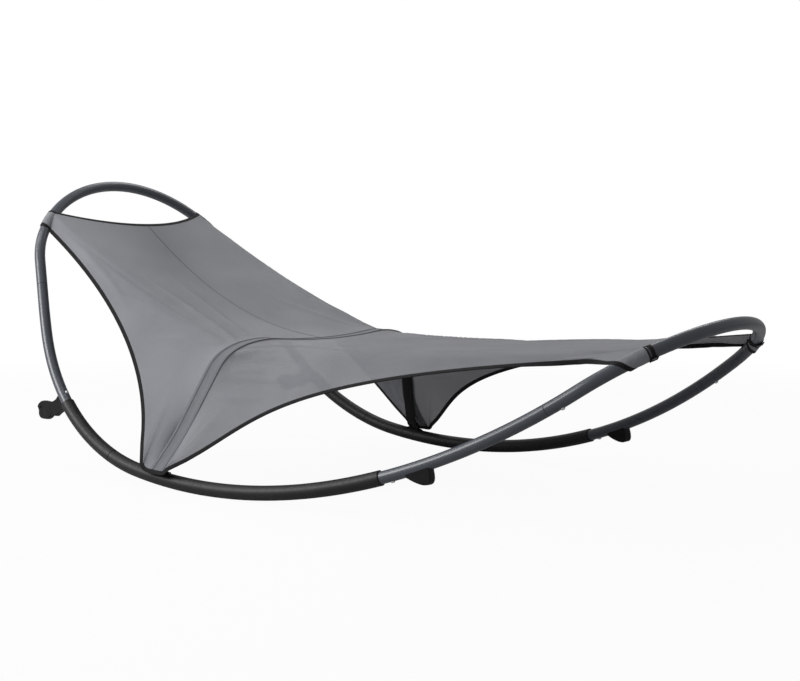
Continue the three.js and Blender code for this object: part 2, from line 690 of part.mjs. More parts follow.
// Point of a side edge on a grid row. Beyond the tip it lies level with its row along x.
function edgePoint(path, row, rows) {
  const [tipRound, side] = path.curves;
  if (row <= TIP_ROWS) return tipRound.getPoint(row / TIP_ROWS);
  const share = (rowShare(row, rows) - tipShare) / (1 - tipShare);
  const [from, to] = [side.getPoint(0).x, side.getPoint(1).x];
  const x = from + (to - from) * share;
  let [low, high] = [0, 1];
  for (let round = 0; round < EDGE_ROUNDS; round += 1) {
    const middle = (low + high) / 2;
    if (Math.abs(side.getPoint(middle).x - from) < Math.abs(x - from)) low = middle;
    else high = middle;
  }
  return side.getPoint(high);
}

// Joins runs over the right flap, the middle and the left flap without repeating the places where they meet.
const overFlaps = (right, middle, left) => [...right, ...middle.slice(1), ...left.slice(1)];

// Shares of the fold's line at the grid's columns, dense where it curves. The bend's middle starts a crease.
const [flareRun, straightRun, bendRun] = ridge.getCurveLengths().map((length) => length / ridgeLength);
const bendMiddle = (straightRun + bendRun) / 2;
const flapShares = [...spread(0, flareRun, 2), ...spread(flareRun, straightRun, STRAIGHT_COLUMNS).slice(1),
  ...spread(straightRun, bendMiddle, BEND_COLUMNS).slice(1)];
const halfBend = spread(bendMiddle, bendRun, BEND_COLUMNS);
const otherSide = (shares) => shares.map((share) => 1 - share).reverse();
const middleShares = overFlaps(halfBend, spread(bendRun, 1 - bendRun, MIDDLE_COLUMNS), otherSide(halfBend));
const columnShares = overFlaps(flapShares, middleShares, otherSide(flapShares));
const flapColumns = flapShares.length - 1;
const middleColumns = columnShares.length - 1 - 2 * flapColumns;

// The far edge at the columns: along the right pocket, over the sagging edge and along the left pocket.
function farEdge(cornerLow, cornerTop, edge) {
  const pocket = spread(0, 1, flapColumns).map((share) => mix(cornerLow, cornerTop, share));
  return overFlaps(pocket, spread(0, 1, middleColumns).map((share) => edge.getPoint(share)),
    pocket.map(flipY).reverse());
}

const average = (points) => points.reduce((sum, point) => sum.add(point), new THREE.Vector3())
  .multiplyScalar(1 / points.length);

// A stretched sheet over four edges. Rows run from the fold to the far edge, columns from right to left.
// Three columns hang as lines of their own: the middle and the taut creases from the bends to the corners.
// Every other point hangs midway between its neighbours.
function stretchedGrid(direction, lastRow, edge, rows, middleSag, creaseSag) {
  const columns = columnShares.length - 1;
  const sags = new Map([[flapColumns, creaseSag], [columns / 2, middleSag],
    [columns - flapColumns, creaseSag]]);
  const firstRow = columnShares.map((share) => besideRidge(share, direction));
  const grid = spread(0, rows, rows).map((row) => columnShares.map((_, column) => {
    if (row === 0) return firstRow[column];
    if (row === rows) return lastRow[column];
    if (column === 0) return edgePoint(edge, row, rows);
    if (column === columns) return flipY(edgePoint(edge, row, rows));
    const t = rowShare(row, rows);
    const hung = mix(firstRow[column], lastRow[column], t);
    hung.z -= 4 * (sags.get(column) ?? 0) * t * (1 - t);
    return hung;
  }));
  const relax = (rounds, fixed) => {
    for (let round = 0; round < rounds; round += 1) {
      for (let row = 1; row < rows; row += 1) {
        for (let column = 1; column < columns; column += 1) {
          if (fixed.has(column)) continue;
          grid[row][column] = average([grid[row - 1][column], grid[row + 1][column],
            grid[row][column - 1], grid[row][column + 1]]);
        }
      }
    }
  };
  relax(RELAX_ROUNDS, sags);
  relax(SOFTEN_ROUNDS, new Map());
  return grid;
}

const backGrid = stretchedGrid(-1, farEdge(headCornerLow, headCornerTop, headEdge), backEdge, BACK_ROWS,
  BACK_SAG, BACK_CREASE_SAG);
const seatGrid = stretchedGrid(1, farEdge(footCornerLow, footCornerTop, footEdge), seatEdge, SEAT_ROWS,
  SEAT_SAG, SEAT_CREASE_SAG);

function gridNormals(grid) {
  const rows = grid.length - 1;
  const columns = grid[0].length - 1;
  return grid.map((line, row) => line.map((_, column) => {
    const across = line[Math.min(column + 1, columns)].clone().sub(line[Math.max(column - 1, 0)]);
    const along = grid[Math.min(row + 1, rows)][column].clone().sub(grid[Math.max(row - 1, 0)][column]);
    return across.cross(along).normalize();
  }));
}

// A closed sheet of cloth on a grid, half its thickness to each side.
function clothSolid(grid) {
  const normals = gridNormals(grid);
  const rows = grid.length - 1;
  const columns = grid[0].length - 1;
  const layers = [CLOTH_THICKNESS / 2, -CLOTH_THICKNESS / 2].map((lift) => grid.map((line, row) =>
    line.map((point, column) => point.clone().addScaledVector(normals[row][column], lift))));
  const count = (rows + 1) * (columns + 1);
  const at = (layer, row, column) => layer * count + row * (columns + 1) + column;
  const index = [];
  const quad = (a, b, c, d) => index.push(a, b, c, a, c, d);
  for (let row = 0; row < rows; row += 1) {
    for (let column = 0; column < columns; column += 1) {
      quad(at(0, row, column), at(0, row, column + 1), at(0, row + 1, column + 1), at(0, row + 1, column));
      quad(at(1, row, column), at(1, row + 1, column), at(1, row + 1, column + 1), at(1, row, column + 1));
    }
  }
  for (let column = 0; column < columns; column += 1) {
    quad(at(0, 0, column), at(1, 0, column), at(1, 0, column + 1), at(0, 0, column + 1));
    quad(at(0, rows, column + 1), at(1, rows, column + 1), at(1, rows, column), at(0, rows, column));
  }
  for (let row = 0; row < rows; row += 1) {
    quad(at(0, row + 1, 0), at(1, row + 1, 0), at(1, row, 0), at(0, row, 0));
    quad(at(0, row, columns), at(1, row, columns), at(1, row + 1, columns), at(0, row + 1, columns));
  }
  const geometry = new THREE.BufferGeometry();
  const positions = layers.flat(2).flatMap((point) => point.toArray());
  geometry.setAttribute('position', new THREE.Float32BufferAttribute(positions, 3));
  geometry.setIndex(index);
  return geometry;
}

// Half of a grid up to the middle column, ended just short of the seam.
function halfGrid(grid) {
  const middle = (grid[0].length - 1) / 2;
  return grid.map((line) => {
    const half = line.slice(0, middle + 1);
    half[middle] = half[middle].clone().setY(-FIT_GAP / 2);
    return half;
  });
}

const rightBack = halfGrid(backGrid);
add('back_panel_right', clothSolid(rightBack), colours.cloth);
add('back_panel_left', clothSolid(rightBack.map((line) => line.map(flipY))), colours.cloth);
add('seat_panel', clothSolid(seatGrid), colours.cloth);

// The sewn channel on the fold

add('fold_channel', sweep(columnShares.map(ridgeFrame),
  rectangle(CHANNEL_WIDTH, CLOTH_THICKNESS)), colours.cloth);

// Bindings: tapes butted against the cloth's edges

// Frames beside an edge of the cloth, on its outer side.
function tapeFrames(points, normals) {
  return points.map((point, index) => {
    const before = points[Math.max(index - 1, 0)];
    const after = points[Math.min(index + 1, points.length - 1)];
    const frame = frameOf(point.clone(), after.clone().sub(before).normalize(), normals[index]);
    frame.centre.addScaledVector(frame.binormal, -(BINDING_WIDTH / 2 + SEAM_GAP));
    return frame;
  });
}

const tapeShape = rectangle(BINDING_WIDTH, BINDING_THICKNESS);

// A polyline's end moved back along its last stretch, clear of the tube.
const shortened = (points) => {
  const [before, end] = points.slice(-2);
  return [...points.slice(0, -1), mix(end, before, BINDING_INSET / end.distanceTo(before))];
};

// A side binding starts under the middle of the channel, rounds the tip and ends at the pocket.
function sideTape(grid, direction) {
  const normals = gridNormals(grid);
  const last = grid.length - 1;
  const start = ridgeFrame(0);
  const points = [start.centre.clone().addScaledVector(start.binormal, direction * FIT_GAP)];
  const pointNormals = [start.normal.clone().multiplyScalar(-direction)];
  for (let row = 0; row <= last; row += 1) {
    points.push(grid[row][0]);
    pointNormals.push(normals[row][0]);
  }
  return tapeFrames(shortened(points), pointNormals);
}

const mirrorFrames = (frames) => frames.map((frame) => ({
  centre: flipY(frame.centre), tangent: flipY(frame.tangent), normal: flipY(frame.normal),
  binormal: flipY(frame.binormal).negate() }));

for (const [name, grid, direction] of [['back', backGrid, -1], ['seat', seatGrid, 1]]) {
  const frames = sideTape(grid, direction);
  add(`${name}_binding_right`, sweep(frames, tapeShape), colours.webbing);
  add(`${name}_binding_left`, sweep(mirrorFrames(frames), tapeShape), colours.webbing);
}

function endTape(grid) {
  const row = grid.length - 1;
  const overEdge = (line) => line.slice(flapColumns, line.length - flapColumns);
  const edge = shortened(shortened(overEdge(grid[row])).reverse()).reverse();
  return sweep(tapeFrames(edge, overEdge(gridNormals(grid)[row])), tapeShape);
}

add('head_binding', endTape(backGrid), colours.webbing);
add('foot_binding', endTape(seatGrid), colours.webbing);

// Pockets on the bows, the foot bands and their slides

for (const [side, { frame }] of Object.entries(sides)) {
  const pocket = wrapShape(POCKET_CLOTH);
  const band = wrapShape(BAND_THICKNESS);
  add(`head_pocket_${side}`, railRun(side, HEAD_POCKET_AT, HEAD_POCKET_AT + HEAD_POCKET_LENGTH, pocket),
    colours.cloth);
  add(`foot_pocket_${side}`, railRun(side, FOOT_POCKET_AT, FOOT_POCKET_AT + FOOT_POCKET_LENGTH, pocket),
    colours.cloth);
  add(`foot_band_${side}`, railRun(side, FOOT_BAND_AT - BAND_WIDTH / 2, FOOT_BAND_AT + BAND_WIDTH / 2, band),
    colours.webbing);
  const slide = new THREE.Shape(roundedCorners(SLIDE_LENGTH, SLIDE_WIDTH, SLIDE_RIM));
  for (const half of [-1, 1]) {
    const window = roundedCorners(SLIDE_LENGTH - 2 * SLIDE_RIM, (SLIDE_WIDTH - 3 * SLIDE_RIM) / 2,
      SLIDE_RIM / 2);
    const shift = (half * (SLIDE_WIDTH - SLIDE_RIM)) / 4;
    slide.holes.push(new THREE.Path(window.map((point) => point.add(new THREE.Vector2(0, shift)))));
  }
  const seat = frame(FOOT_BAND_AT);
  const bandTop = tubeRadius + 2 * FIT_GAP + BAND_THICKNESS;
  add(`foot_slide_${side}`, placed(
    new THREE.ExtrudeGeometry(slide, { depth: SLIDE_THICKNESS, bevelEnabled: false }),
    seat.centre.clone().addScaledVector(seat.normal, bandTop), seat.tangent, seat.normal), colours.plastic);
}

// Rings, brackets and strap. Local x runs along the tube.

// A prism along x from an outline drawn in y and z.
function prismAlongX(shape, length) {
  const turn = new THREE.Matrix4().makeBasis(new THREE.Vector3(0, 1, 0), new THREE.Vector3(0, 0, 1), alongX);
  return new THREE.ExtrudeGeometry(shape, { depth: length, bevelEnabled: false, curveSegments: 6 })
    .translate(0, 0, -length / 2).applyMatrix4(turn);
}

const earOffset = RING_WIDTH / 2 - RING_CORNER - FIT_GAP - EAR_THICKNESS / 2;
const loopRadius = pivotRadius + STRAP_THICKNESS;

function ringWire() {
  const shape = new THREE.Shape(roundedCorners(RING_WIDTH, RING_HEIGHT, RING_CORNER));
  shape.holes.push(new THREE.Path(roundedCorners(RING_WIDTH - 2 * RING_WIRE, RING_HEIGHT - 2 * RING_WIRE,
    RING_CORNER - RING_WIRE)));
  return new THREE.ExtrudeGeometry(shape, { depth: RING_WIRE - 2 * RING_BEVEL, bevelThickness: RING_BEVEL,
    bevelSize: RING_BEVEL, bevelOffset: -RING_BEVEL, bevelSegments: 1 })
    .translate(0, barSpacing / 2, -RING_WIRE / 2 + RING_BEVEL).rotateX(Math.PI / 2);
}

function loopShape() {
  const shape = new THREE.Shape();
  const end = barSpacing + LOOP_LENGTH;
  const neck = barSpacing + 2 * loopRadius;
  shape.absarc(0, barSpacing, loopRadius, Math.PI, 2 * Math.PI);
  shape.lineTo(STRAP_THICKNESS, neck);
  shape.lineTo(STRAP_THICKNESS, end);
  shape.lineTo(-STRAP_THICKNESS, end);
  shape.lineTo(-STRAP_THICKNESS, neck);
  const hole = new THREE.Path();
  hole.absarc(0, barSpacing, pivotRadius, 0, 2 * Math.PI);
  shape.holes.push(hole);
  return shape;
}

function bracket(side, frame) {
  const outward = frame.normal.clone().negate();
  const plate = toSolid(railRun(side, RING_AT - RING_WIDTH / 2, RING_AT + RING_WIDTH / 2,
    wrapShape(BRACKET_PLATE, sleeveRadius)));
  const keep = new THREE.BoxGeometry(2 * RING_WIDTH, BRACKET_WIDTH, SLEEVE_DIAMETER)
    .translate(0, 0, SLEEVE_DIAMETER / 2);
  const earTop = pivotHeight + pivotRadius + EAR_RIM;
  const earRoot = sleeveRadius + FIT_GAP + BRACKET_PLATE / 2;
  const ear = new THREE.BoxGeometry(EAR_THICKNESS, 2 * (pivotRadius + EAR_RIM), earTop - earRoot)
    .translate(0, 0, (earTop + earRoot) / 2);
  const put = (geometry) => toSolid(placed(geometry, frame.centre, frame.tangent, outward));
  const bore = new THREE.CylinderGeometry(pivotRadius, pivotRadius, 2 * RING_WIDTH, PIVOT_SIDES)
    .rotateZ(Math.PI / 2).translate(0, 0, pivotHeight);
  return toGeometry(plate.intersect(put(keep))
    .add(put(ear.clone().translate(earOffset, 0, 0))).add(put(ear.clone().translate(-earOffset, 0, 0)))
    .subtract(put(bore)));
}

for (const [side, { frame }] of Object.entries(sides)) {
  const seat = frame(RING_AT);
  add(`ring_bracket_${side}`, bracket(side, seat), colours.plastic);
  add(`ring_${side}`, placed(ringWire(), pivotOf(seat), seat.tangent, ringUp(seat)), colours.plastic);
  add(`strap_loop_${side}`, placed(prismAlongX(loopShape(), STRAP_WIDTH), pivotOf(seat), seat.tangent,
    ringUp(seat)), colours.webbing);
}

// The strap leaves the loop in line with it and follows the underside of the channel to the other side.
function strapFrames() {
  const up = ringUp(ringFrame);
  const drop = (CLOTH_THICKNESS + STRAP_THICKNESS) / 2 + STRAP_GAP;
  const start = frameOf(loopEnd.clone().addScaledVector(up, FIT_GAP), up,
    squareTo(ringFrame.tangent, up).cross(up));
  const under = (share) => {
    const frame = ridgeFrame(share);
    frame.centre.addScaledVector(frame.normal, -drop);
    return frame;
  };
  const [end] = mirrorFrames([start]).map(reversed);
  return [start, ...columnShares.slice(2, -2).map(under), end];
}

add('cross_strap', sweep(strapFrames(), rectangle(STRAP_WIDTH, STRAP_THICKNESS)), colours.webbing);

// Origin at the bottom centre of the whole
const bounds = new THREE.Box3().setFromObject(root);
const shift = new THREE.Vector3(-(bounds.min.x + bounds.max.x) / 2, 0, -bounds.min.z);
for (const mesh of root.children) mesh.geometry.translate(shift.x, shift.y, shift.z);

export default root;
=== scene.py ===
"""Looks of a rocking chaise lounge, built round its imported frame.

Metres. +Z is up, +X points to the sitter's feet, and -Y is the sitter's right, the side near the camera.
"""

from collections import namedtuple
from math import asin, cos, pi, radians, sin

import bmesh
import bpy
import numpy as np
from mathutils import Matrix, Vector


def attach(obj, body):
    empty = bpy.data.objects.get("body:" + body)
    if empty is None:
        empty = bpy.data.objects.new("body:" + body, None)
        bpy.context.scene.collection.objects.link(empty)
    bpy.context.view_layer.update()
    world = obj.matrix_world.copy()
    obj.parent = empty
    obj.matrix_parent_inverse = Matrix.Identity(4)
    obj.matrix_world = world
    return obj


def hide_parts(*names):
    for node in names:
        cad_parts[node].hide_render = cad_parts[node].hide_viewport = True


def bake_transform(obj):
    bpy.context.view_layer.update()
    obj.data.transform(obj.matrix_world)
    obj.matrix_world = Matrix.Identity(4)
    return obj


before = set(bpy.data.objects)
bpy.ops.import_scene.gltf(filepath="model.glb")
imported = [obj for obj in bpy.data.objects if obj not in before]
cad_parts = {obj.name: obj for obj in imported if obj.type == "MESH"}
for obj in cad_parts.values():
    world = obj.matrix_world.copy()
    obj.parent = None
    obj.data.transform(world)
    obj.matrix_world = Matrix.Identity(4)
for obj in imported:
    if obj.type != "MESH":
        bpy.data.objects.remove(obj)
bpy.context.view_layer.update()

MM = 0.001

# Tube, sleeves and fits
TUBE_RADIUS = 16 * MM
BORE_RADIUS = 14.5 * MM
SLEEVE_RADIUS = 19.5 * MM
FIT_GAP = 0.35 * MM
JOINT_GAP = 0.6 * MM
END_CHAMFER = 0.7 * MM
SLEEVE_CHAMFER = 0.8 * MM
TUBE_STEP = 9 * MM
TUBE_ANGLES = 40

# Side profile of the loop: radius and sweep of each arc, from the floor contact
FOOT_PROFILE = ((1807 * MM, 34.1),)
HEAD_PROFILE = ((1807 * MM, 8.9), (691 * MM, 52.5))

# Flat drawing of one half of the loop, from its widest point
LOOP_HALF_WIDTH = 548 * MM
WIDEST_TO_CONTACT = 304 * MM
HEAD_SIDE = (2610 * MM, 15.8)
HEAD_STRAIGHT = 150 * MM
HEAD_CORNER = (287 * MM, 22)
FOOT_SIDE = (5170 * MM, 12.9)
FOOT_STRAIGHT = 249 * MM
FOOT_CORNER = (286 * MM, 34.8)

# Places along the tube from the floor contact, towards the foot
HEAD_JOINT = -1088 * MM
UPPER_SLEEVE = -664 * MM
RAIL_JOINT = -397 * MM
RING = -190 * MM
SLEEVE_END = 549 * MM
FOOT_JOINT = 1017 * MM
FOOT_BAND = (1288 * MM, 1297 * MM)
SLIDE_PLACE = 1292 * MM
SCREW_INSET = 37 * MM
SLEEVE_SCREW_INSET = 30 * MM
HALF_STEP = 48 * MM

# Sling
CLOTH = 1.0 * MM
CHANNEL_WIDTH = 43 * MM
CHANNEL_LAP = 4 * MM
BINDING_WIDTH = 12 * MM
BINDING_THICK = 2.6 * MM
HEM_WIDTH = 10 * MM
SEAT_FOLD_HEIGHT = 397 * MM
FOLD_TO_CONTACT = 72 * MM
FOLD_BEND_SETBACK = 28 * MM
FOLD_HALF_SPAN = 381 * MM
FOLD_BEND_RISE = 82 * MM
FOLD_BEND_RUN = 149 * MM
FOLD_SAG = 12 * MM
TIP = np.array([13, -26, 26]) * MM
TIP_HEADWARD = 56 * MM
TIP_FOOTWARD = 33 * MM
TIP_CORNER_RISES = {-1: 16 * MM, 1: 9 * MM}
# Sag along X and dip of the middle of each end edge
HEAD_EDGE = (87 * MM, 39 * MM)
FOOT_EDGE = (-57 * MM, 2 * MM)
BACK_SAG = 85 * MM
SEAT_SAG = 23 * MM
BACK_CREASE_SAG = 20 * MM
SEAT_CREASE_SAG = 20 * MM
# Handles of the scalloped edges, as shares of the way from the corner to the tip on each axis
BACK_PULL_SHARES = ((0.84, 0.15, 0.56), (0.87, 0.94, 0.93))
SEAT_PULL_SHARES = ((0.85, 0.41, 0.27), (0.8, 0.52, 0.65))
TIP_SHARE = 0.04
ROW_PACE = 1.25
BACK_ROWS = 14
SEAT_ROWS = 18
TIP_ROWS = 2
FLARE_CELLS, STRAIGHT_CELLS, BEND_CELLS, MIDDLE_CELLS = 2, 3, 3, 6
FINE = 8
RIDGE_POINTS, SIDE_POINTS = 240, 1200
PANEL_SETBACK = 1 * MM

# How the cloth relaxes: its side rows slide this many times, and these columns beside each edge are drawn straight
SLIDES = 10
RELAX_ROUNDS = 20
RELAX_PACE, SOFTEN_PACE = 1.9, 0.8
EDGE_COLUMNS = 3

# Where the cloth goes round the bows, as places along the tube in mm and angles round it: 0 is inboard, 90 is up and
# 180 is outboard. Each panel meets its wrap on a line from its low to its top corner. The wrap's low edge is oblique.
WRAP_RADIUS = 17.9 * MM
WRAP_GIRTH = 18
WRAP_INSIDE = 8
WRAP_END = 385
WRAP_POINTS, WRAP_COLUMNS = 40, 44
WRAP_PACE = 1.3
SEAT_PULL_CORNER = (1235 * MM, 60, 20.95 * MM)
CORNER_REACH = 95 * MM
HEAD_WRAP = {"low": (-1303, 60), "top": (-1364, 95),
             "edge": ((-1303, 62), (-1304, 90), (-1312, 150), (-1317, 180), (-1322, 210), (-1335, 270), (-1350, 330),
                      (-1363, 385))}
FOOT_WRAP = {"low": (1209, 98), "top": (1279, 96),
             "edge": ((1209, 100), (1213, 130), (1224, 180), (1230, 210), (1237, 240), (1244, 270), (1259, 320),
                      (1277, 385))}

# Wrinkles on the right half: height and half width in mm, and places on the panel as (row, column)
SEAT_WRINKLES = (
    (5.9, 9, ((0.3, 8.0), (1.9, 8.7), (3.9, 9.2), (7.2, 8.6), (9.9, 7.0))),
    (4.9, 9, ((3.6, 11.6), (7.1, 9.9), (9.9, 7.3))),
    (7.0, 9, ((0.2, 6.9), (1.0, 7.3), (2.1, 7.6), (3.3, 7.7))),
    (-8.1, 10, ((0.2, 6.4), (1.7, 6.7), (3.7, 6.6), (5.3, 6.1))),
    (5.4, 8, ((0.8, 5.5), (2.0, 5.6), (3.2, 5.4))),
    (-6.5, 10, ((0.5, 4.6), (2.5, 4.5), (4.4, 3.9), (5.9, 2.6))),
    (4.3, 10, ((0.5, 3.7), (2.5, 3.3), (4.0, 2.3))),
    (4.9, 11, ((9.5, 10.4), (12.2, 9.0), (14.4, 6.8))),
    (5.4, 10, ((15.3, 9.1), (16.4, 7.4), (17.3, 5.5))),
)
BACK_WRINKLES = (
    (6.8, 8, ((6.2, 8.7), (5.1, 8.7), (3.1, 8.7), (0.6, 8.6))),
    (-6.1, 10, ((12.1, 6.1), (9.9, 6.9), (7.1, 7.6), (4.4, 8.0), (1.3, 8.2))),
    (4.9, 9, ((9.5, 9.0), (6.9, 9.1), (4.1, 9.0), (1.4, 9.0))),
    (3.8, 10, ((9.0, 2.6), (6.8, 5.8), (4.6, 7.3), (1.4, 7.8))),
    (3.8, 9, ((5.3, 3.4), (3.7, 5.8), (1.6, 7.3))),
    (3.4, 11, ((13.0, 4.0), (11.4, 4.3), (9.3, 3.9), (7.4, 2.9))),
    (3.0, 10, ((10.5, 11.5), (7.5, 11.2), (4.5, 10.4), (1.5, 9.9))),
)

WRINKLE_POINTS = 60
WRINKLE_FADE = 0.7

# Strap and ring
STRAP_WIDTH = 38 * MM
STRAP_THICK = 2.2 * MM
STRAP_MEETS_CLOTH = 97 * MM
WIRE_RADIUS = 2.5 * MM
RING_WIDTH = 52 * MM
BAR_SPACING = 16 * MM
RING_CORNER = 6 * MM
RING_LEAN = radians(38)
PIVOT_HEIGHT = 26.03 * MM
LOOP_LENGTH = 22 * MM
LOOP_PLAY = 0.4 * MM
LOOP_FOLD_GAP = 0.1 * MM
LOOP_NECK = 2.6
LOOP_SQUEEZE = 0.95
LOOP_CORNER = 0.7 * MM
STRAP_GAP = 1.2 * MM
STRAP_CORNER = 0.8 * MM
STRAP_POINTS, STRAP_RINGS = 220, 300
STRAP_TURNING = 90

# Where the camera of the photograph stood
CAMERA_AZIMUTH = radians(39.5093)
CAMERA_ELEVATION = radians(4.3647)
CAMERA_DISTANCE = 4.0307
CAMERA_TARGET = np.array([0.20397, 0.0, 0.371191])
CAMERA_SENSOR = 36
CAMERA_LENS = 64.299
CAMERA_SHIFT = (-0.5 / 800, 0.5 / 800)


# Points and curves

SIDES = {"right": np.array([1, 1, 1]), "left": np.array([1, -1, 1])}


def full_turn(count):
    return np.arange(count) * 2 * pi / count


def unit(vectors):
    return vectors / np.linalg.norm(vectors, axis=-1, keepdims=True)


def flipped(points):
    return np.asarray(points) * SIDES["left"]


def bezier(corners, t):
    """Points of a Bezier curve of any degree at the values t."""
    t = np.asarray(t, float)[..., None]
    layer = [np.broadcast_to(corner, t.shape[:-1] + (3,)) for corner in corners]
    while len(layer) > 1:
        layer = [a + (b - a) * t for a, b in zip(layer, layer[1:])]
    return layer[0]


def lengths_along(points):
    """Distance of each point of a polyline from its start."""
    steps = np.linalg.norm(np.diff(points, axis=0), axis=1)
    return np.concatenate([[0], np.cumsum(steps)])


def at_lengths(points, lengths, wanted):
    return np.stack([np.interp(wanted, lengths, points[:, axis]) for axis in range(3)], axis=-1)


# The tube's line

def arc(radius, sweep):
    return radius * radians(sweep), 1 / radius


def walk(legs, distance):
    """Place and heading on a flat chain of (length, bend) legs. The last leg runs on."""
    left = np.asarray(distance, float)
    x, y, heading = np.zeros_like(left), np.zeros_like(left), np.zeros_like(left)
    for index, (length, bend) in enumerate(legs):
        step = left if index == len(legs) - 1 else np.minimum(left, length)
        turn = step * bend
        if bend:
            x = x + (np.sin(heading + turn) - np.sin(heading)) / bend
            y = y + (np.cos(heading) - np.cos(heading + turn)) / bend
        else:
            x = x + step * np.cos(heading)
            y = y + step * np.sin(heading)
        heading = heading + turn
        left = left - step
    return x, y, heading


def half_outline(side, straight, corner):
    """One end of the flat drawing, closed by a crown arc that meets the middle line square."""
    legs = [arc(*side), (straight, 0.0), arc(*corner)]
    crown_sweep = 90 - side[1] - corner[1]
    inset = float(walk(legs, sum(length for length, _ in legs))[1])
    return [*legs, arc((LOOP_HALF_WIDTH - inset) / sin(radians(crown_sweep)), crown_sweep)]


head_outline = half_outline(HEAD_SIDE, HEAD_STRAIGHT, HEAD_CORNER)
foot_outline = half_outline(FOOT_SIDE, FOOT_STRAIGHT, FOOT_CORNER)
foot_profile = [*(arc(*leg) for leg in FOOT_PROFILE), (1.0, 0.0)]
head_profile = [*(arc(*leg) for leg in HEAD_PROFILE), (1.0, 0.0)]
contact_from_widest = FOOT_SIDE[0] * asin(WIDEST_TO_CONTACT / FOOT_SIDE[0])
HEAD_CROWN = -sum(length for length, _ in head_outline) - contact_from_widest
FOOT_CROWN = sum(length for length, _ in foot_outline) - contact_from_widest


def side_profile(distance):
    x, z, slope = walk(foot_profile, np.abs(distance))
    head_x, head_z, head_slope = walk(head_profile, np.abs(distance))
    foot = distance >= 0
    return np.where(foot, x, -head_x), np.where(foot, z, head_z), np.where(foot, slope, -head_slope)


def node_points(name):
    return np.array([vertex.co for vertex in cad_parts[name].data.vertices])


def find_origin():
    """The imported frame's place of the floor contact on the tube's line, read from the sleeve's lowest flat."""
    points = node_points("runner_sleeve_right")
    lowest = points[points[:, 2] < 0.1 * MM]
    rise = walk(foot_profile, HALF_STEP)[1]
    return np.array([lowest[:, 0].mean(), 0, SLEEVE_RADIUS - rise])


ORIGIN = find_origin()
Line = namedtuple("Line", "place centre tangent up inboard")


def tube_line(places):
    """The right half of the tube's line: its middle, its tangent, and the directions up and inboard across it."""
    place = np.asarray(places, float)
    from_widest = place + contact_from_widest
    foot = from_widest >= 0
    foot_x, foot_y, foot_turn = walk(foot_outline, np.abs(from_widest))
    head_x, head_y, head_turn = walk(head_outline, np.abs(from_widest))
    along = np.where(foot, foot_x, -head_x)
    across = np.where(foot, foot_y, head_y) - LOOP_HALF_WIDTH
    turn = np.where(foot, foot_turn, -head_turn)
    x, z, slope = side_profile(along - WIDEST_TO_CONTACT)
    centre = np.stack([x, across, z], -1) + ORIGIN
    tangent = np.stack([np.cos(turn) * np.cos(slope), np.sin(turn), np.cos(turn) * np.sin(slope)], -1)
    up = np.stack([-np.sin(slope), np.zeros_like(slope), np.cos(slope)], -1)
    return Line(place, centre, tangent, up, np.cross(tangent, -up))


def mirror_line(line):
    return Line(line.place, *(flipped(part) for part in line[1:]))


def side_line(places, side):
    line = tube_line(places)
    return line if side == "right" else mirror_line(line)


def bow_line(joint, crown, step):
    """A bow's line from its right end over the crown to its left end."""
    count = int(abs(crown - joint) / step)
    right = tube_line(np.linspace(joint, crown, count))
    left = mirror_line(right)
    return Line(*(np.concatenate([a, b[-2::-1]]) for a, b in zip(right, left)))


def round_the_tube(line, radius, angles):
    """Rings of points: an angle of 0 is inboard, and a quarter turn is up."""
    radius = np.broadcast_to(radius, line.place.shape)[:, None, None]
    inboard = np.cos(angles)[None, :, None] * line.inboard[:, None]
    up = np.sin(angles)[None, :, None] * line.up[:, None]
    return line.centre[:, None] + radius * (inboard + up)


# Meshes

def new_object(name, points, faces, material, smooth=40, uv=None):
    """A mesh object with outward faces. uv holds one pair for each corner of each face."""
    mesh = bpy.data.meshes.new(name)
    mesh.from_pydata([tuple(point) for point in points], [], faces)
    if uv is not None:
        layer = mesh.uv_layers.new(name="Flat")
        layer.data.foreach_set("uv", np.asarray(uv, np.float32).ravel())
    work = bmesh.new()
    work.from_mesh(mesh)
    bmesh.ops.recalc_face_normals(work, faces=work.faces)
    for face in work.faces:
        face.smooth = True
    for edge in work.edges:
        if len(edge.link_faces) == 2 and edge.calc_face_angle(0) > radians(smooth):
            edge.smooth = False
    work.to_mesh(mesh)
    work.free()
    mesh.materials.append(material)
    thing = bpy.data.objects.new(name, mesh)
    bpy.context.scene.collection.objects.link(thing)
    return thing


def loft(name, rings, material, closed=False, smooth=40):
    """A skin over rings of points. closed joins the last ring to the first, and otherwise both ends are capped."""
    rings = np.asarray(rings)
    count, around = rings.shape[:2]
    down = lengths_along(rings[:, 0])
    round_it = lengths_along(np.vstack([rings[0], rings[0, :1]]))
    faces, uv = [], []
    for ring in range(count if closed else count - 1):
        after = (ring + 1) % count
        for point in range(around):
            beside = (point + 1) % around
            faces.append((ring * around + point, ring * around + beside,
                          after * around + beside, after * around + point))
            ends = (down[ring], down[after] if after else down[ring])
            uv += [(ends[0], round_it[point]), (ends[0], round_it[point + 1]),
                   (ends[1], round_it[point + 1]), (ends[1], round_it[point])]
    if not closed:
        for ring in (0, count - 1):
            faces.append(tuple(ring * around + point for point in range(around)))
            uv += [(down[ring], round_it[point]) for point in range(around)]
    return new_object(name, rings.reshape(-1, 3), faces, material, smooth, uv)


def finish_piece(thing, body, slot, *nodes):
    """Lets a piece ride on its body and hides the solids that it stands for. slot is not used."""
    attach(thing, body)
    if nodes:
        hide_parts(*nodes)
    return thing


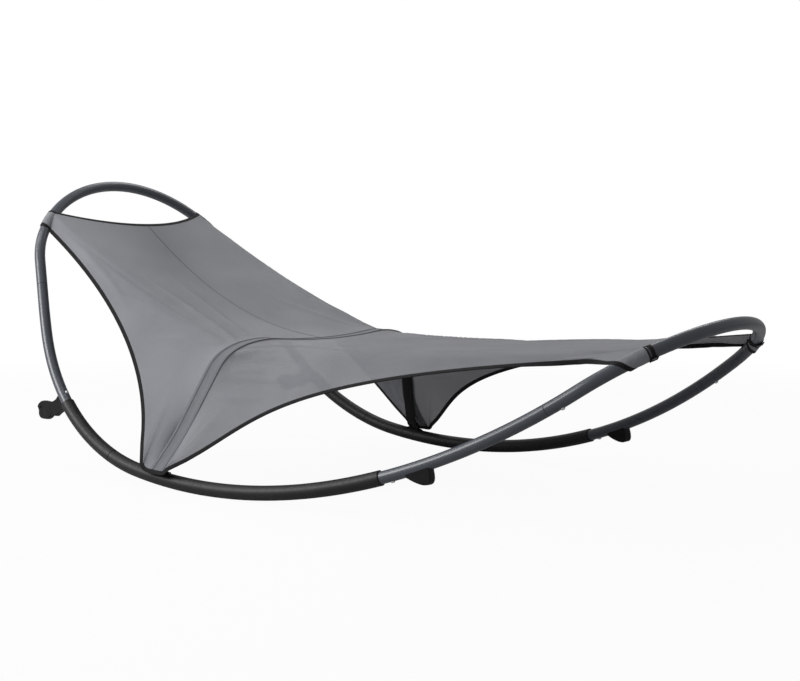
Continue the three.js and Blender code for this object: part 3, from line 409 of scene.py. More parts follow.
def tube_piece(name, line, outer, inner, chamfer, material):
    """A hollow round tube on a line, with chamfered ends."""
    angles = full_turn(TUBE_ANGLES)
    lengths = lengths_along(line.centre)
    inset = np.clip(np.minimum(lengths, lengths[-1] - lengths) / chamfer, 0, 1)
    skin = round_the_tube(line, outer - chamfer * (1 - inset), angles)
    bore = round_the_tube(line, inner, angles)
    return loft(name, np.concatenate([skin, bore[::-1]]), material, closed=True)


def with_ends(start, end, step, chamfer):
    """Places from start to end, with one more a chamfer inside each end."""
    count = max(2, int(abs(end - start) / step))
    inside = np.linspace(start + chamfer, end - chamfer, count)
    return np.concatenate([[start], inside, [end]])


# Materials

def node(tree, kind, **values):
    made_node = tree.nodes.new(kind)
    for key, value in values.items():
        if key in made_node.inputs:
            made_node.inputs[key].default_value = value
        else:
            setattr(made_node, key, value)
    return made_node


def in_range(tree, value, low, high):
    """Turns a value from 0 to 1 into one from low to high."""
    scaled = node(tree, "ShaderNodeMapRange", **{"To Min": low, "To Max": high})
    tree.links.new(value, scaled.inputs["Value"])
    return scaled.outputs["Result"]


class Finish:
    """A material with its node tree and a Principled shader, and short calls for what most finishes need."""

    def __init__(self, name, colour, **values):
        self.material = bpy.data.materials.new(name)
        self.material.use_nodes = True
        self.tree = self.material.node_tree
        self.shader = self.tree.nodes["Principled BSDF"]
        self.output = self.tree.nodes["Material Output"]
        self.shader.inputs["Base Color"].default_value = (*colour, 1)
        for key, value in values.items():
            self.shader.inputs[key.replace("_", " ").title().replace("Ior", "IOR")].default_value = value
        self.coordinates = self.tree.nodes.new("ShaderNodeTexCoord")

    def link(self, out, into):
        self.tree.links.new(out, into)

    def noise(self, scale, detail=2.0, space="Object", stretch=None):
        """A noise value between 0 and 1, over the object's own space or its flat lengths."""
        texture = node(self.tree, "ShaderNodeTexNoise", Scale=scale, Detail=detail)
        source = self.coordinates.outputs[space]
        if stretch:
            mapping = node(self.tree, "ShaderNodeMapping", Scale=stretch)
            self.link(source, mapping.inputs["Vector"])
            source = mapping.outputs["Vector"]
        self.link(source, texture.inputs["Vector"])
        return texture.outputs["Fac"]

    def between(self, value, low, high):
        """Turns a value from 0 to 1 into one from low to high."""
        return in_range(self.tree, value, low, high)

    def math(self, operation, a, b=None):
        step = node(self.tree, "ShaderNodeMath", operation=operation)
        for socket, value in zip(step.inputs, (a, b)):
            if isinstance(value, (int, float)):
                socket.default_value = value
            elif value is not None:
                self.link(value, socket)
        return step.outputs[0]

    def bump(self, height, distance, strength=1.0, under=None):
        """Bumps of a height map, with the value 1 standing at distance, over another bump if one is given."""
        bump = node(self.tree, "ShaderNodeBump", Strength=strength, Distance=distance)
        self.link(height, bump.inputs["Height"])
        if under is not None:
            self.link(under, bump.inputs["Normal"])
        return bump.outputs["Normal"]

    def colour(self, value, stops):
        """Colours the surface by a value, with stops of (place, colour)."""
        ramp = self.tree.nodes.new("ShaderNodeValToRGB")
        elements = ramp.color_ramp.elements
        while len(elements) < len(stops):
            elements.new(0.5)
        for element, (place, colour) in zip(elements, stops):
            element.position = place
            element.color = (*colour, 1)
        self.link(value, ramp.inputs["Fac"])
        self.link(ramp.outputs["Color"], self.shader.inputs["Base Color"])

    def rough(self, value, low, high):
        self.link(self.between(value, low, high), self.shader.inputs["Roughness"])

    def normal(self, socket):
        self.link(socket, self.shader.inputs["Normal"])


def hard_finish(name, colour, mottle, tones, rough, grain, **values):
    """A paint, plastic or metal. mottle says how noisy its patches are, and tones gives their stops. rough has the
    scale and the range of its roughness, and grain has scale, detail, height and strength of each layer of bumps."""
    finish = Finish(name, colour, **values)
    finish.colour(finish.noise(*mottle), tones)
    scale, low, high = rough
    finish.rough(finish.noise(scale, 3), low, high)
    bumps = None
    for scale, detail, height, strength in grain:
        bumps = finish.bump(finish.noise(scale, detail), height, strength, bumps)
    finish.normal(bumps)
    return finish.material


YARN = 1.15 * MM


def weave(finish, pitch=YARN):
    """Height of a plain weave over the flat lengths, from 0 to 1."""
    split = finish.tree.nodes.new("ShaderNodeSeparateXYZ")
    finish.link(finish.coordinates.outputs["UV"], split.inputs[0])
    down, across = (finish.math("SINE", finish.math("MULTIPLY", split.outputs[axis], 2 * pi / pitch))
                    for axis in ("X", "Y"))
    return finish.between(finish.math("MULTIPLY", down, across), 0.5, 1.0)


def sling_cloth(name, see_through, glow, painted_shade=1.0):
    """Grey melange cloth. see_through is how much shows through each side of its weave, and glow how much light
    comes through. The last factor scales its colours down, as painted shade."""
    finish = Finish(name, (0.2, 0.205, 0.222), roughness=0.82, specular_ior_level=0.25,
                    sheen_weight=0.18, sheen_roughness=0.45)
    height = weave(finish)
    melange = finish.noise(900, 2, "UV", (1, 0.16, 1))
    clouds = finish.noise(5, 3)
    mixed = finish.math("ADD", finish.math("MULTIPLY", melange, 0.55), finish.math("MULTIPLY", clouds, 0.45))
    tones = ((0.3, (0.166, 0.171, 0.187)), (0.5, (0.205, 0.210, 0.227)), (0.7, (0.245, 0.250, 0.268)))
    # Painted shade: every colour stop is scaled down by the darkening factor.
    finish.colour(mixed, [(place, tuple(painted_shade * value for value in tone)) for place, tone in tones])
    finish.rough(melange, 0.74, 0.9)
    slub = finish.bump(finish.noise(160, 3, "UV", (1, 0.3, 1)), 0.35 * MM, 0.5)
    finish.normal(finish.bump(height, 0.3 * MM, 0.8, slub))
    surface = finish.shader.outputs[0]
    for kind, colour, share in (("Translucent", (0.34, 0.345, 0.365, 1), glow),
                                ("Transparent", (1, 1, 1, 1), see_through)):
        layer = node(finish.tree, f"ShaderNodeBsdf{kind}", Color=colour)
        mix = node(finish.tree, "ShaderNodeMixShader", Fac=share)
        finish.link(surface, mix.inputs[1])
        finish.link(layer.outputs[0], mix.inputs[2])
        surface = mix.outputs[0]
    finish.link(surface, finish.output.inputs["Surface"])
    return finish.material


def webbing(name, colour, rib=2.2 * MM):
    """Black woven tape with ribs across its length."""
    finish = Finish(name, colour, roughness=0.8, specular_ior_level=0.18, sheen_weight=0.05, sheen_roughness=0.4)
    height = weave(finish, rib)
    fuzz = finish.noise(1200, 2, "UV", (1, 0.3, 1))
    finish.colour(fuzz, [(0.35, colour), (0.75, tuple(1.7 * value for value in colour))])
    finish.rough(fuzz, 0.7, 0.92)
    finish.normal(finish.bump(height, 0.5 * MM, 0.8))
    return finish.material


def thread(name, colour):
    finish = Finish(name, colour, roughness=0.55, specular_ior_level=0.4, sheen_weight=0.1)
    finish.colour(finish.noise(900, 2), [(0.3, colour), (0.7, tuple(1.35 * value for value in colour))])
    finish.normal(finish.bump(finish.noise(2500, 2), 0.05 * MM, 0.6))
    return finish.material


STEEL = hard_finish(
    "powder_coat", (0.042, 0.047, 0.057), (7, 3), [(0.3, (0.046, 0.052, 0.064)), (0.7, (0.058, 0.065, 0.078))],
    (60, 0.32, 0.4), [(380, 1, 0.08 * MM, 0.2), (1400, 2, 0.04 * MM, 0.3)],
    roughness=0.36, specular_ior_level=0.42, coat_weight=0.12, coat_roughness=0.2)
SLEEVE = hard_finish(
    "sleeve_plastic", (0.008, 0.008, 0.009), (22, 4, "Object", (1, 3, 3)),
    [(0.35, (0.0065, 0.0065, 0.0072)), (0.75, (0.011, 0.011, 0.0122))],
    (90, 0.42, 0.6), [(900, 2, 0.06 * MM, 0.6)], roughness=0.5, specular_ior_level=0.3)
PLASTIC = hard_finish(
    "moulded_plastic", (0.007, 0.007, 0.008), (40, 3), [(0.3, (0.005, 0.005, 0.0055)), (0.75, (0.010, 0.010, 0.011))],
    (200, 0.34, 0.55), [(1600, 2, 0.08 * MM, 0.7)], roughness=0.42, specular_ior_level=0.12)
ZINC = hard_finish(
    "zinc_screw", (0.72, 0.73, 0.75), (120, 2), [(0.3, (0.62, 0.63, 0.65)), (0.7, (0.78, 0.79, 0.8))],
    (300, 0.16, 0.34), [(1500, 2, 0.03 * MM, 0.5)], roughness=0.24, metallic=1.0)
BACK_CLOTH = sling_cloth("back_cloth", 0.05, 0.08)
SEAT_CLOTH = sling_cloth("seat_cloth", 0.18, 0.08)
# The fold strip's cloth is darkened to three quarters: painted shade of the strap beneath it, seen through the cloth.
SHADED_STRIP_CLOTH = sling_cloth("channel_cloth_painted_shade", 0.02, 0.1, 0.75)
POCKET_CLOTH = sling_cloth("pocket_cloth", 0.004, 0.08)
BLACK_TAPE = webbing("black_tape", (0.0055, 0.0055, 0.0062), 1.6 * MM)
STRAP_WEB = webbing("strap_webbing", (0.006, 0.006, 0.0068))
GREY_THREAD = thread("grey_thread", (0.115, 0.118, 0.128))
PALE_THREAD = thread("pale_thread", (0.2, 0.205, 0.225))
# Near black: real black thread for the tape stitches, and painted shade on the back's seam ridge.
BLACK_THREAD_AND_SEAM_SHADE = thread("black_thread_and_seam_shade", (0.012, 0.012, 0.013))
HEM_TAPE = webbing("hem_tape", (0.104, 0.108, 0.12), 1.8 * MM)


# Frame: tubes and sleeves

def make_frame():
    for name, joint, crown in (("head_bow", HEAD_JOINT - JOINT_GAP / 2, HEAD_CROWN),
                               ("foot_bow", FOOT_JOINT + JOINT_GAP / 2, FOOT_CROWN)):
        line = bow_line(joint, crown, TUBE_STEP)
        ends = bow_line(joint + np.sign(crown - joint) * END_CHAMFER, crown, TUBE_STEP)
        line = Line(*(np.concatenate([whole[:1], inner, whole[-1:]]) for whole, inner in zip(line, ends)))
        tube = tube_piece(f"{name}_tube", line, TUBE_RADIUS, BORE_RADIUS, END_CHAMFER, STEEL)
        finish_piece(tube, "lounge", "tube_steel", name)
    for side in SIDES:
        for name, start, end in (("head_rail", HEAD_JOINT, RAIL_JOINT), ("rocker_rail", RAIL_JOINT, FOOT_JOINT)):
            places = with_ends(start + JOINT_GAP / 2, end - JOINT_GAP / 2, TUBE_STEP, END_CHAMFER)
            tube = tube_piece(f"{name}_tube_{side}", side_line(places, side), TUBE_RADIUS, BORE_RADIUS,
                              END_CHAMFER, STEEL)
            finish_piece(tube, "lounge", "tube_steel", f"{name}_{side}")
        for name, start, end in (("upper_sleeve", UPPER_SLEEVE, RAIL_JOINT - JOINT_GAP / 2),
                                 ("runner_sleeve", RAIL_JOINT + JOINT_GAP / 2, SLEEVE_END)):
            places = with_ends(start, end, TUBE_STEP, SLEEVE_CHAMFER)
            sleeve = tube_piece(f"{name}_cover_{side}", side_line(places, side), SLEEVE_RADIUS,
                                TUBE_RADIUS + FIT_GAP, SLEEVE_CHAMFER, SLEEVE)
            finish_piece(sleeve, "lounge", "sleeve_plastic", f"{name}_{side}")


# Screws

SCREW_HEAD = 5.5 * MM
SCREW_DOME = 3.2 * MM
SCREW_RIM = 0.9 * MM
SOCKET = 2.3 * MM
SOCKET_DEPTH = 1.8 * MM
SOCKET_RIM = 1.25 * SOCKET
SOCKET_TAPER = 0.96
SCREW_SINK = TUBE_RADIUS / 4
SCREW_ANGLES = 36
DOME_START = 0.04
DOME_RINGS = 6


def screw(name, seat, outward, along, node_name):
    """A domed screw with a six-sided socket, and its head standing on the tube."""
    angles = full_turn(SCREW_ANGLES)
    hexagon = SOCKET * cos(pi / 6) / np.cos((angles % (pi / 3)) - pi / 6)
    rings = [(SCREW_HEAD / 2, -SCREW_SINK), (SCREW_HEAD, -SCREW_SINK), (SCREW_HEAD, SCREW_RIM)]
    for share, lift in zip(np.linspace(DOME_START, 1, DOME_RINGS), np.sin(np.linspace(0, pi / 2, DOME_RINGS))):
        rings.append((SCREW_HEAD - (SCREW_HEAD - SOCKET_RIM) * share, SCREW_RIM + (SCREW_DOME - SCREW_RIM) * lift))
    rings += [(hexagon, SCREW_DOME), (hexagon * SOCKET_TAPER, SCREW_DOME - SOCKET_DEPTH)]
    across = np.cross(outward, along)
    turn = np.cos(angles)[:, None] * along + np.sin(angles)[:, None] * across
    points = [seat + height * outward + np.broadcast_to(radius, angles.shape)[:, None] * turn
              for radius, height in rings]
    return finish_piece(loft(name, points, ZINC, smooth=30), "lounge", "screw_steel", node_name)


def make_screws():
    for side in SIDES:
        for name, place in (("head_joint_screw", HEAD_JOINT - SCREW_INSET),
                            ("foot_joint_screw", FOOT_JOINT + SCREW_INSET),
                            ("sleeve_screw", SLEEVE_END + SLEEVE_SCREW_INSET)):
            line = side_line([place], side)
            seat = line.centre[0] - line.up[0] * TUBE_RADIUS
            screw(f"{name}_head_{side}", seat, -line.up[0], line.tangent[0], f"{name}_{side}")


# The sling's lines, on the right half; the left half mirrors them

def on_tube(places, angles, radius=WRAP_RADIUS):
    """Points beside the right half of the tube, and the directions out from its axis."""
    line = tube_line(places)
    angles = np.radians(angles)[:, None]
    out = np.cos(angles) * line.inboard + np.sin(angles) * line.up
    return line.centre + radius * out, out


def meeting_line(wrap, shares):
    """Points from the low to the top corner of the line on which a panel meets its wrap."""
    (low, low_angle), (top, top_angle) = wrap["low"], wrap["top"]
    return on_tube((low + (top - low) * shares) * MM, low_angle + (top_angle - low_angle) * shares)[0]


ring_line = tube_line([RING])
ring_up = unit(ring_line.up[0] * cos(RING_LEAN) + ring_line.inboard[0] * sin(RING_LEAN))
ring_pivot = ring_line.centre[0] + ring_line.up[0] * PIVOT_HEIGHT
loop_end = ring_pivot + ring_up * (BAR_SPACING + LOOP_LENGTH)
tip = ring_line.centre[0] + TIP
fold_middle = ORIGIN + [-FOLD_TO_CONTACT, 0, SEAT_FOLD_HEIGHT - SLEEVE_RADIUS]
fold_bend = np.array([ORIGIN[0] - FOLD_TO_CONTACT - FOLD_BEND_SETBACK, -FOLD_HALF_SPAN, fold_middle[2]])


def make_ridge():
    """The fold's line from the right tip over the seat to the left tip, as a close polyline, and its runs."""
    rise = unit(loop_end - fold_bend)
    across = unit(fold_middle - fold_bend)
    flare = loop_end - rise * STRAP_MEETS_CLOTH
    start = fold_bend + rise * FOLD_BEND_RISE
    end = fold_bend + across * FOLD_BEND_RUN
    sagging = fold_middle - [0, 0, 2 * FOLD_SAG]
    right = [(tip, (flare + loop_end) / 2, flare), (flare, start), (start, fold_bend, end)]
    curves = right + [(end, sagging, flipped(end))]
    curves += [tuple(flipped(corner) for corner in curve[::-1]) for curve in right[::-1]]
    pieces = [bezier(curve, np.linspace(0, 1, RIDGE_POINTS)) for curve in curves]
    runs = np.cumsum([lengths_along(piece)[-1] for piece in pieces])
    line = np.vstack([pieces[0], *(piece[1:] for piece in pieces[1:])])
    return line, lengths_along(line), runs / runs[-1]


ridge_points, ridge_lengths, ridge_runs = make_ridge()


def ridge_frame(shares):
    """Middle, tangent, normal to the cloth's upper side and the direction to the foot, on the fold's line."""
    shares = np.asarray(shares, float)
    length = ridge_lengths[-1]
    step = FOLD_BEND_RISE / length / 6
    before = at_lengths(ridge_points, ridge_lengths, np.clip(shares - step, 0, 1) * length)
    after = at_lengths(ridge_points, ridge_lengths, np.clip(shares + step, 0, 1) * length)
    tangent = unit(after - before)
    centre = at_lengths(ridge_points, ridge_lengths, shares * length)
    footward = unit(np.array([1, 0, 0]) - tangent[..., :1] * tangent)
    return centre, tangent, np.cross(footward, tangent), footward


# Shares of the fold's line at the coarse columns
bend_middle = (ridge_runs[1] + ridge_runs[2]) / 2
flap_shares = np.concatenate([np.linspace(0, ridge_runs[0], FLARE_CELLS + 1),
                              np.linspace(ridge_runs[0], ridge_runs[1], STRAIGHT_CELLS + 1)[1:],
                              np.linspace(ridge_runs[1], bend_middle, BEND_CELLS + 1)[1:]])
half_bend = np.linspace(bend_middle, ridge_runs[2], BEND_CELLS + 1)[1:]
middle_shares = np.linspace(ridge_runs[2], 1 - ridge_runs[2], MIDDLE_CELLS + 1)[1:]
column_shares = np.concatenate([flap_shares, half_bend, middle_shares, 1 - half_bend[::-1][1:],
                                1 - flap_shares[::-1]])
FLAP = len(flap_shares) - 1
COLUMNS = len(column_shares) - 1


def row_share(row, rows):
    late = TIP_SHARE + (1 - TIP_SHARE) * (np.clip(row - TIP_ROWS, 0, None) / (rows - TIP_ROWS)) ** ROW_PACE
    return np.where(row <= TIP_ROWS, TIP_SHARE * row / TIP_ROWS, late)


def sagging_edge(corner, sag, dip):
    """A sagging edge between two mirrored corners, as the corners of a Bezier curve."""
    middle = np.array([corner[0] + sag, 0, corner[2] - dip])
    return corner, 2 * middle - (corner + flipped(corner)) / 2, flipped(corner)


def far_edge(columns, wrap, edge):
    """The far edge at the columns: along the right wrap, over the sagging edge and along the left wrap."""
    middle = COLUMNS - 2 * FLAP
    right = meeting_line(wrap, np.clip(columns, 0, FLAP) / FLAP)
    left = flipped(meeting_line(wrap, np.clip(COLUMNS - columns, 0, FLAP) / FLAP))
    top = meeting_line(wrap, np.array([1.0]))[0]
    over = bezier(sagging_edge(top, *edge), np.clip((columns - FLAP) / middle, 0, 1))
    beside = (columns < FLAP)[:, None], (columns > COLUMNS - FLAP)[:, None]
    return np.where(beside[0], right, np.where(beside[1], left, over))


def side_start(direction, reach):
    """Where the scalloped side edge starts, beside the tip."""
    return tip + [direction * reach, 0, TIP_CORNER_RISES[direction]]


def tip_edge(rows, direction, reach):
    """The edge round the tip, from beside the fold's line to where the scalloped side edge starts."""
    start = beside_ridge(np.array([0.0]), direction)[0]
    side = side_start(direction, reach)
    low = np.array([side[0], start[1], start[2]])
    return bezier((start, low, side), np.clip(rows / TIP_ROWS, 0, 1))


def side_curve(wrap, pull_corner, pulls, direction, reach):
    """The scalloped side edge as a close polyline. It is pulled from a corner of its own, and its last stretch turns
    to the corner where the wrap starts."""
    corner = meeting_line(wrap, np.array([0.0]))[0]
    near, far = (pull_corner + (tip - pull_corner) * np.array(shares) for shares in pulls)
    curve = bezier((side_start(direction, reach), far, near, pull_corner), np.linspace(0, 1, SIDE_POINTS))
    lengths = lengths_along(curve)
    late = np.clip(1 - (lengths[-1] - lengths) / CORNER_REACH, 0, 1)[:, None]
    return curve + (corner - pull_corner) * late ** 2 * (3 - 2 * late)


def slid(places, curve, lengths, points):
    """Moves places along a curve halfway to where they lie nearest to some points, and keeps them in order."""
    gaps = np.linalg.norm(curve[None] - points[:, None], axis=2)
    places = places + 0.5 * (lengths[gaps.argmin(axis=1)] - places)
    places[0], places[-1] = 0, lengths[-1]
    for _ in range(4):
        places[1:-1] = (places[2:] + 2 * places[1:-1] + places[:-2]) / 4
    return np.clip(np.maximum.accumulate(places), 0, lengths[-1])


def beside_ridge(shares, direction):
    centre, _, _, footward = ridge_frame(shares)
    return centre + footward * direction * (CHANNEL_WIDTH / 2 + PANEL_SETBACK)


def relaxed(grid, free, rounds, pace):
    """Moves each free point towards the middle of its neighbours, in two turns, like a chess board."""
    parity = np.add.outer(np.arange(grid.shape[0]), np.arange(grid.shape[1]))[1:-1, 1:-1] % 2
    for _ in range(rounds):
        for turn in (0, 1):
            inner = grid[1:-1, 1:-1]
            mean = (grid[:-2, 1:-1] + grid[2:, 1:-1] + grid[1:-1, :-2] + grid[1:-1, 2:]) / 4
            moves = (free[1:-1, 1:-1] & (parity == turn))[..., None]
            inner += moves * pace * (mean - inner)
    return grid


def stretched(direction, wrap, pull_corner, edge, pulls, reach, rows, middle_sag, crease_sag):
    """A stretched sheet over four edges. Rows run from the fold to the far edge, and columns from right to left.
    The middle column and the creases from the bends to the corners hang as lines of their own."""
    row = np.arange(rows * FINE + 1) / FINE
    column = np.arange(COLUMNS * FINE + 1) / FINE
    first = beside_ridge(np.interp(column, np.arange(COLUMNS + 1), column_shares), direction)
    last = far_edge(column, wrap, edge)
    turn = TIP_ROWS * FINE
    curve = side_curve(wrap, pull_corner, pulls, direction, reach)
    lengths = lengths_along(curve)
    gone = np.abs(curve[:, 0] - curve[0, 0])
    shares = (row_share(row[turn:], rows) - TIP_SHARE) / (1 - TIP_SHARE)
    places = np.interp(shares * gone[-1], np.maximum.accumulate(gone), lengths)
    t = row_share(row, rows)[:, None, None]
    grid = first[None] + (last - first)[None] * t
    sags = {FLAP: crease_sag, COLUMNS // 2: middle_sag, COLUMNS - FLAP: crease_sag}
    free = np.ones(grid.shape[:2], bool)
    for cell, sag in sags.items():
        grid[:, cell * FINE, 2] -= (4 * sag * t * (1 - t))[:, 0, 0]
        free[:, cell * FINE] = False
    grid[:turn + 1, 0] = tip_edge(row[:turn + 1], direction, reach)
    for _ in range(SLIDES):
        grid[turn:, 0] = at_lengths(curve, lengths, places)
        grid[:, -1] = flipped(grid[:, 0])
        grid = relaxed(grid, free, RELAX_ROUNDS * FINE, RELAX_PACE)
        places = slid(places, curve, lengths, grid[turn:, FINE])
    grid = relaxed(grid, np.ones(grid.shape[:2], bool), FINE * FINE, SOFTEN_PACE)
    return straightened(grid)


def up_normals(grid):
    normal = unit(np.cross(np.gradient(grid, axis=1), np.gradient(grid, axis=0)))
    middle = normal[normal.shape[0] // 2, normal.shape[1] // 2]
    return normal * np.sign(middle[2])


def straightened(grid):
    """Draws the rows straight near both side edges, and then evens them. The first and last rows stay."""
    wide = EDGE_COLUMNS * FINE
    share = np.linspace(0, 1, wide + 1)[:, None]
    inside = np.arange(len(grid))
    inside = np.clip(np.minimum(inside, inside[::-1]) / FINE, 0, 1)[:, None, None]
    for part in (grid, grid[:, ::-1]):
        chord = part[:, :1] + (part[:, wide] - part[:, 0])[:, None] * share
        part[:, :wide + 1] += inside * (chord - part[:, :wide + 1])
    for _ in range(wide):
        grid[:, 1:-1] += 0.5 * inside * ((grid[:, 2:] + grid[:, :-2]) / 2 - grid[:, 1:-1])
    return grid


def grid_points(grid, rows, columns):
    """Points of a grid at whole or part rows and columns."""
    row, column = (np.minimum(values.astype(int), limit - 2)
                   for values, limit in zip((rows, columns), grid.shape))
    down, across = (rows - row)[:, None], (columns - column)[:, None]
    upper, lower = (grid[row + step, column] * (1 - across) + grid[row + step, column + 1] * across
                    for step in (0, 1))
    return upper * (1 - down) + lower * down


def wrinkled(grid, wrinkles):
    """Raises or lowers the cloth along lines on its right half, and along the same lines mirrored."""
    lift = np.zeros(grid.shape[:2])
    share = np.linspace(0, 1, WRINKLE_POINTS)
    for height, width, places in wrinkles:
        line = grid_points(grid, *(np.interp(share, np.linspace(0, 1, len(values)), values) * FINE
                                   for values in np.array(places).T))
        for half in (line, flipped(line)):
            gaps = np.linalg.norm(grid[:, :, None] - half, axis=3)
            fade = np.sin(pi * share[gaps.argmin(axis=2)]) ** WRINKLE_FADE
            lift += height * MM * fade * np.exp(-(gaps.min(axis=2) / (width * MM)) ** 2)
    lift[:, [0, -1]] = 0
    return grid + up_normals(grid) * lift[..., None]


seat_pull_corner = on_tube([SEAT_PULL_CORNER[0]], [SEAT_PULL_CORNER[1]], SEAT_PULL_CORNER[2])[0][0]
head_corner = meeting_line(HEAD_WRAP, np.array([0.0]))[0]
back_grid = wrinkled(stretched(-1, HEAD_WRAP, head_corner, HEAD_EDGE, BACK_PULL_SHARES, TIP_HEADWARD, BACK_ROWS,
                               BACK_SAG, BACK_CREASE_SAG), BACK_WRINKLES)
seat_grid = wrinkled(stretched(1, FOOT_WRAP, seat_pull_corner, FOOT_EDGE, SEAT_PULL_SHARES, TIP_FOOTWARD, SEAT_ROWS,
                               SEAT_SAG, SEAT_CREASE_SAG), SEAT_WRINKLES)


def flat_lengths(grid):
    """The cloth's own lengths at each point: down from the fold, and across from the middle column."""
    down = np.concatenate([np.zeros((1, grid.shape[1])),
                           np.cumsum(np.linalg.norm(np.diff(grid, axis=0), axis=2), axis=0)])
    across = np.concatenate([np.zeros((grid.shape[0], 1)),
                             np.cumsum(np.linalg.norm(np.diff(grid, axis=1), axis=2), axis=1)], axis=1)
    middle = across[:, grid.shape[1] // 2][:, None]
    return np.stack([down, across - middle], axis=-1)


def sheet_object(name, grid, normals, flat, thickness, material):
    """A closed thin sheet on a grid."""
    rows, columns = grid.shape[:2]
    count = rows * columns
    top = (grid + normals * thickness / 2).reshape(-1, 3)
    under = (grid - normals * thickness / 2).reshape(-1, 3)
    flat = flat.reshape(-1, 2)
    faces = []
    for row in range(rows - 1):
        for column in range(columns - 1):
            a = row * columns + column
            quad = (a, a + 1, a + columns + 1, a + columns)
            faces.append(quad)
            faces.append(tuple(count + corner for corner in quad[::-1]))
    rim = [row * columns for row in range(rows)] + list(range((rows - 1) * columns + 1, count))
    rim += [row * columns + columns - 1 for row in range(rows - 2, -1, -1)] + list(range(columns - 2, 0, -1))
    for here, after in zip(rim, rim[1:] + rim[:1]):
        faces.append((here, after, count + after, count + here))
    uv = [flat[corner % count] for face in faces for corner in face]
    return new_object(name, np.vstack([top, under]), faces, material, 60, uv)


def make_panels():
    middle = back_grid.shape[1] // 2
    normals = up_normals(back_grid)
    flat = flat_lengths(back_grid)
    for side, part in (("right", slice(0, middle + 1)), ("left", slice(middle, None))):
        piece = sheet_object(f"back_cloth_{side}", back_grid[:, part], normals[:, part], flat[:, part],
                             CLOTH, BACK_CLOTH)
        finish_piece(piece, "lounge", "sling_cloth", f"back_panel_{side}")
    piece = sheet_object("seat_cloth", seat_grid, up_normals(seat_grid), flat_lengths(seat_grid), CLOTH, SEAT_CLOTH)
    finish_piece(piece, "lounge", "sling_cloth", "seat_panel")


# Seams, hems and tape. A stitch has a pitch, a length and a radius, and its rings have places along it, sizes and
# lifts.
STITCH_SIDES = 5
STITCH_RINGS = ((-0.5, 0.4, -0.7), (-0.25, 1, 0), (0.25, 1, 0), (0.5, 0.4, -0.7))
SEAM_SECTION = (2 * MM, 1.3 * MM, 0.6 * MM)
SEAM_STITCH = (4.6 * MM, 3.2 * MM, 0.32 * MM)
SEAM_STITCH_GAP = 5 * MM
STRIP_POINTS = 260
STRIP_EDGE = ((0, 0.4 * MM), (0.6 * MM, 1.9 * MM), (5 * MM, 2 * MM), (6.2 * MM, 1.3 * MM))
STRIP_EDGE_INSET = 1 * MM
STRIP_UNDERSIDE = 0.3 * MM
HEM_THICK = 1.1 * MM
HEM_CORNER = 0.4 * MM
HEM_INSET = 0.4 * MM
HEM_LIFT = 2 * MM
HEM_STITCH = (3.6 * MM, 4.6 * MM, 0.42 * MM)
HEM_STITCH_LIFT = 0.6 * MM
HEM_STITCH_SLANT = 0.9
TAPE_STITCH = (4.4 * MM, 3 * MM, 0.35 * MM)
TAPE_STITCH_OUT = 1.6 * MM
TAPE_LAP = 0.6 * MM
TAPE_CORNER = 1 * MM
TAPE_STEP = 4 * MM
TIP_INSIDE = 45 * MM
FOOT_BINDING_WIDTH = 5 * MM
EASE_ROUNDS = (3, 50, 50)


def section_loft(name, centre, across, out, section, material, smooth=50):
    """Sweeps a flat section of (across, out) points along a line."""
    section = np.asarray(section)
    rings = centre[:, None] + section[None, :, :1] * across[:, None] + section[None, :, 1:] * out[:, None]
    return loft(name, rings, material, smooth=smooth)


def rounded_section(width, height, corner, steps=3):
    """A rounded rectangle about the origin."""
    points = []
    for quarter, (sx, sy) in enumerate(((1, 1), (-1, 1), (-1, -1), (1, -1))):
        for step in range(steps + 1):
            angle = (quarter + step / steps) * pi / 2
            points.append((sx * (width / 2 - corner) + corner * cos(angle),
                           sy * (height / 2 - corner) + corner * sin(angle)))
    return np.array(points)


def stitches(name, points, along, out, stitch, material, slot):
    """Thread stitches at even steps on a line, lying in one direction, as one piece."""
    pitch, length, radius = stitch
    lengths = lengths_along(points)
    places = np.arange(pitch, lengths[-1] - pitch, pitch)
    centre, along, out = (at_lengths(values, lengths, places) for values in (points, along, out))
    along = unit(along)
    across = unit(np.cross(along, out))
    out = np.cross(across, along)
    angles = full_turn(STITCH_SIDES)
    around = np.cos(angles)[:, None] * across[:, None] + np.sin(angles)[:, None] * out[:, None]
    rings = [centre[:, None] + (length * share * along + radius * lift * out)[:, None] + radius * size * around
             for share, size, lift in STITCH_RINGS]
    points = np.stack(rings, axis=1).reshape(-1, 3)
    each = len(STITCH_RINGS) * STITCH_SIDES
    faces = []
    for first in range(0, len(points), each):
        last = first + each - STITCH_SIDES
        for ring in range(first, last, STITCH_SIDES):
            for k in range(STITCH_SIDES):
                beside = (k + 1) % STITCH_SIDES
                faces.append((ring + k, ring + beside, ring + STITCH_SIDES + beside, ring + STITCH_SIDES + k))
        faces += [tuple(end + k for k in range(STITCH_SIDES)) for end in (first, last)]
    return finish_piece(new_object(name, points, faces, material, 80), "lounge", slot)


def make_seam():
    """The seam down the middle of the back: a thin ridge of turned cloth between two rows of stitches. The ridge is
    coloured near black as painted shade of the seam's fold.
    """
    middle = back_grid.shape[1] // 2
    line, normal = back_grid[:, middle], up_normals(back_grid)[:, middle]
    tangent = unit(np.gradient(line, axis=0))
    across = np.cross(tangent, normal)
    line = line + normal * CLOTH / 2
    # The seam ridge takes the near-black finish: painted shade along the fold of the seam.
    cord = section_loft("back_seam_painted_shade", line, across, normal, rounded_section(*SEAM_SECTION), BLACK_THREAD_AND_SEAM_SHADE)
    finish_piece(cord, "lounge", "sling_cloth")
    for side, direction in (("right", -1), ("left", 1)):
        stitches(f"seam_stitches_{side}", line + direction * SEAM_STITCH_GAP * across, tangent, normal, SEAM_STITCH,
                 GREY_THREAD, "sling_cloth")


def flipped_across(section):
    return [(-x, y) for x, y in section[::-1]]


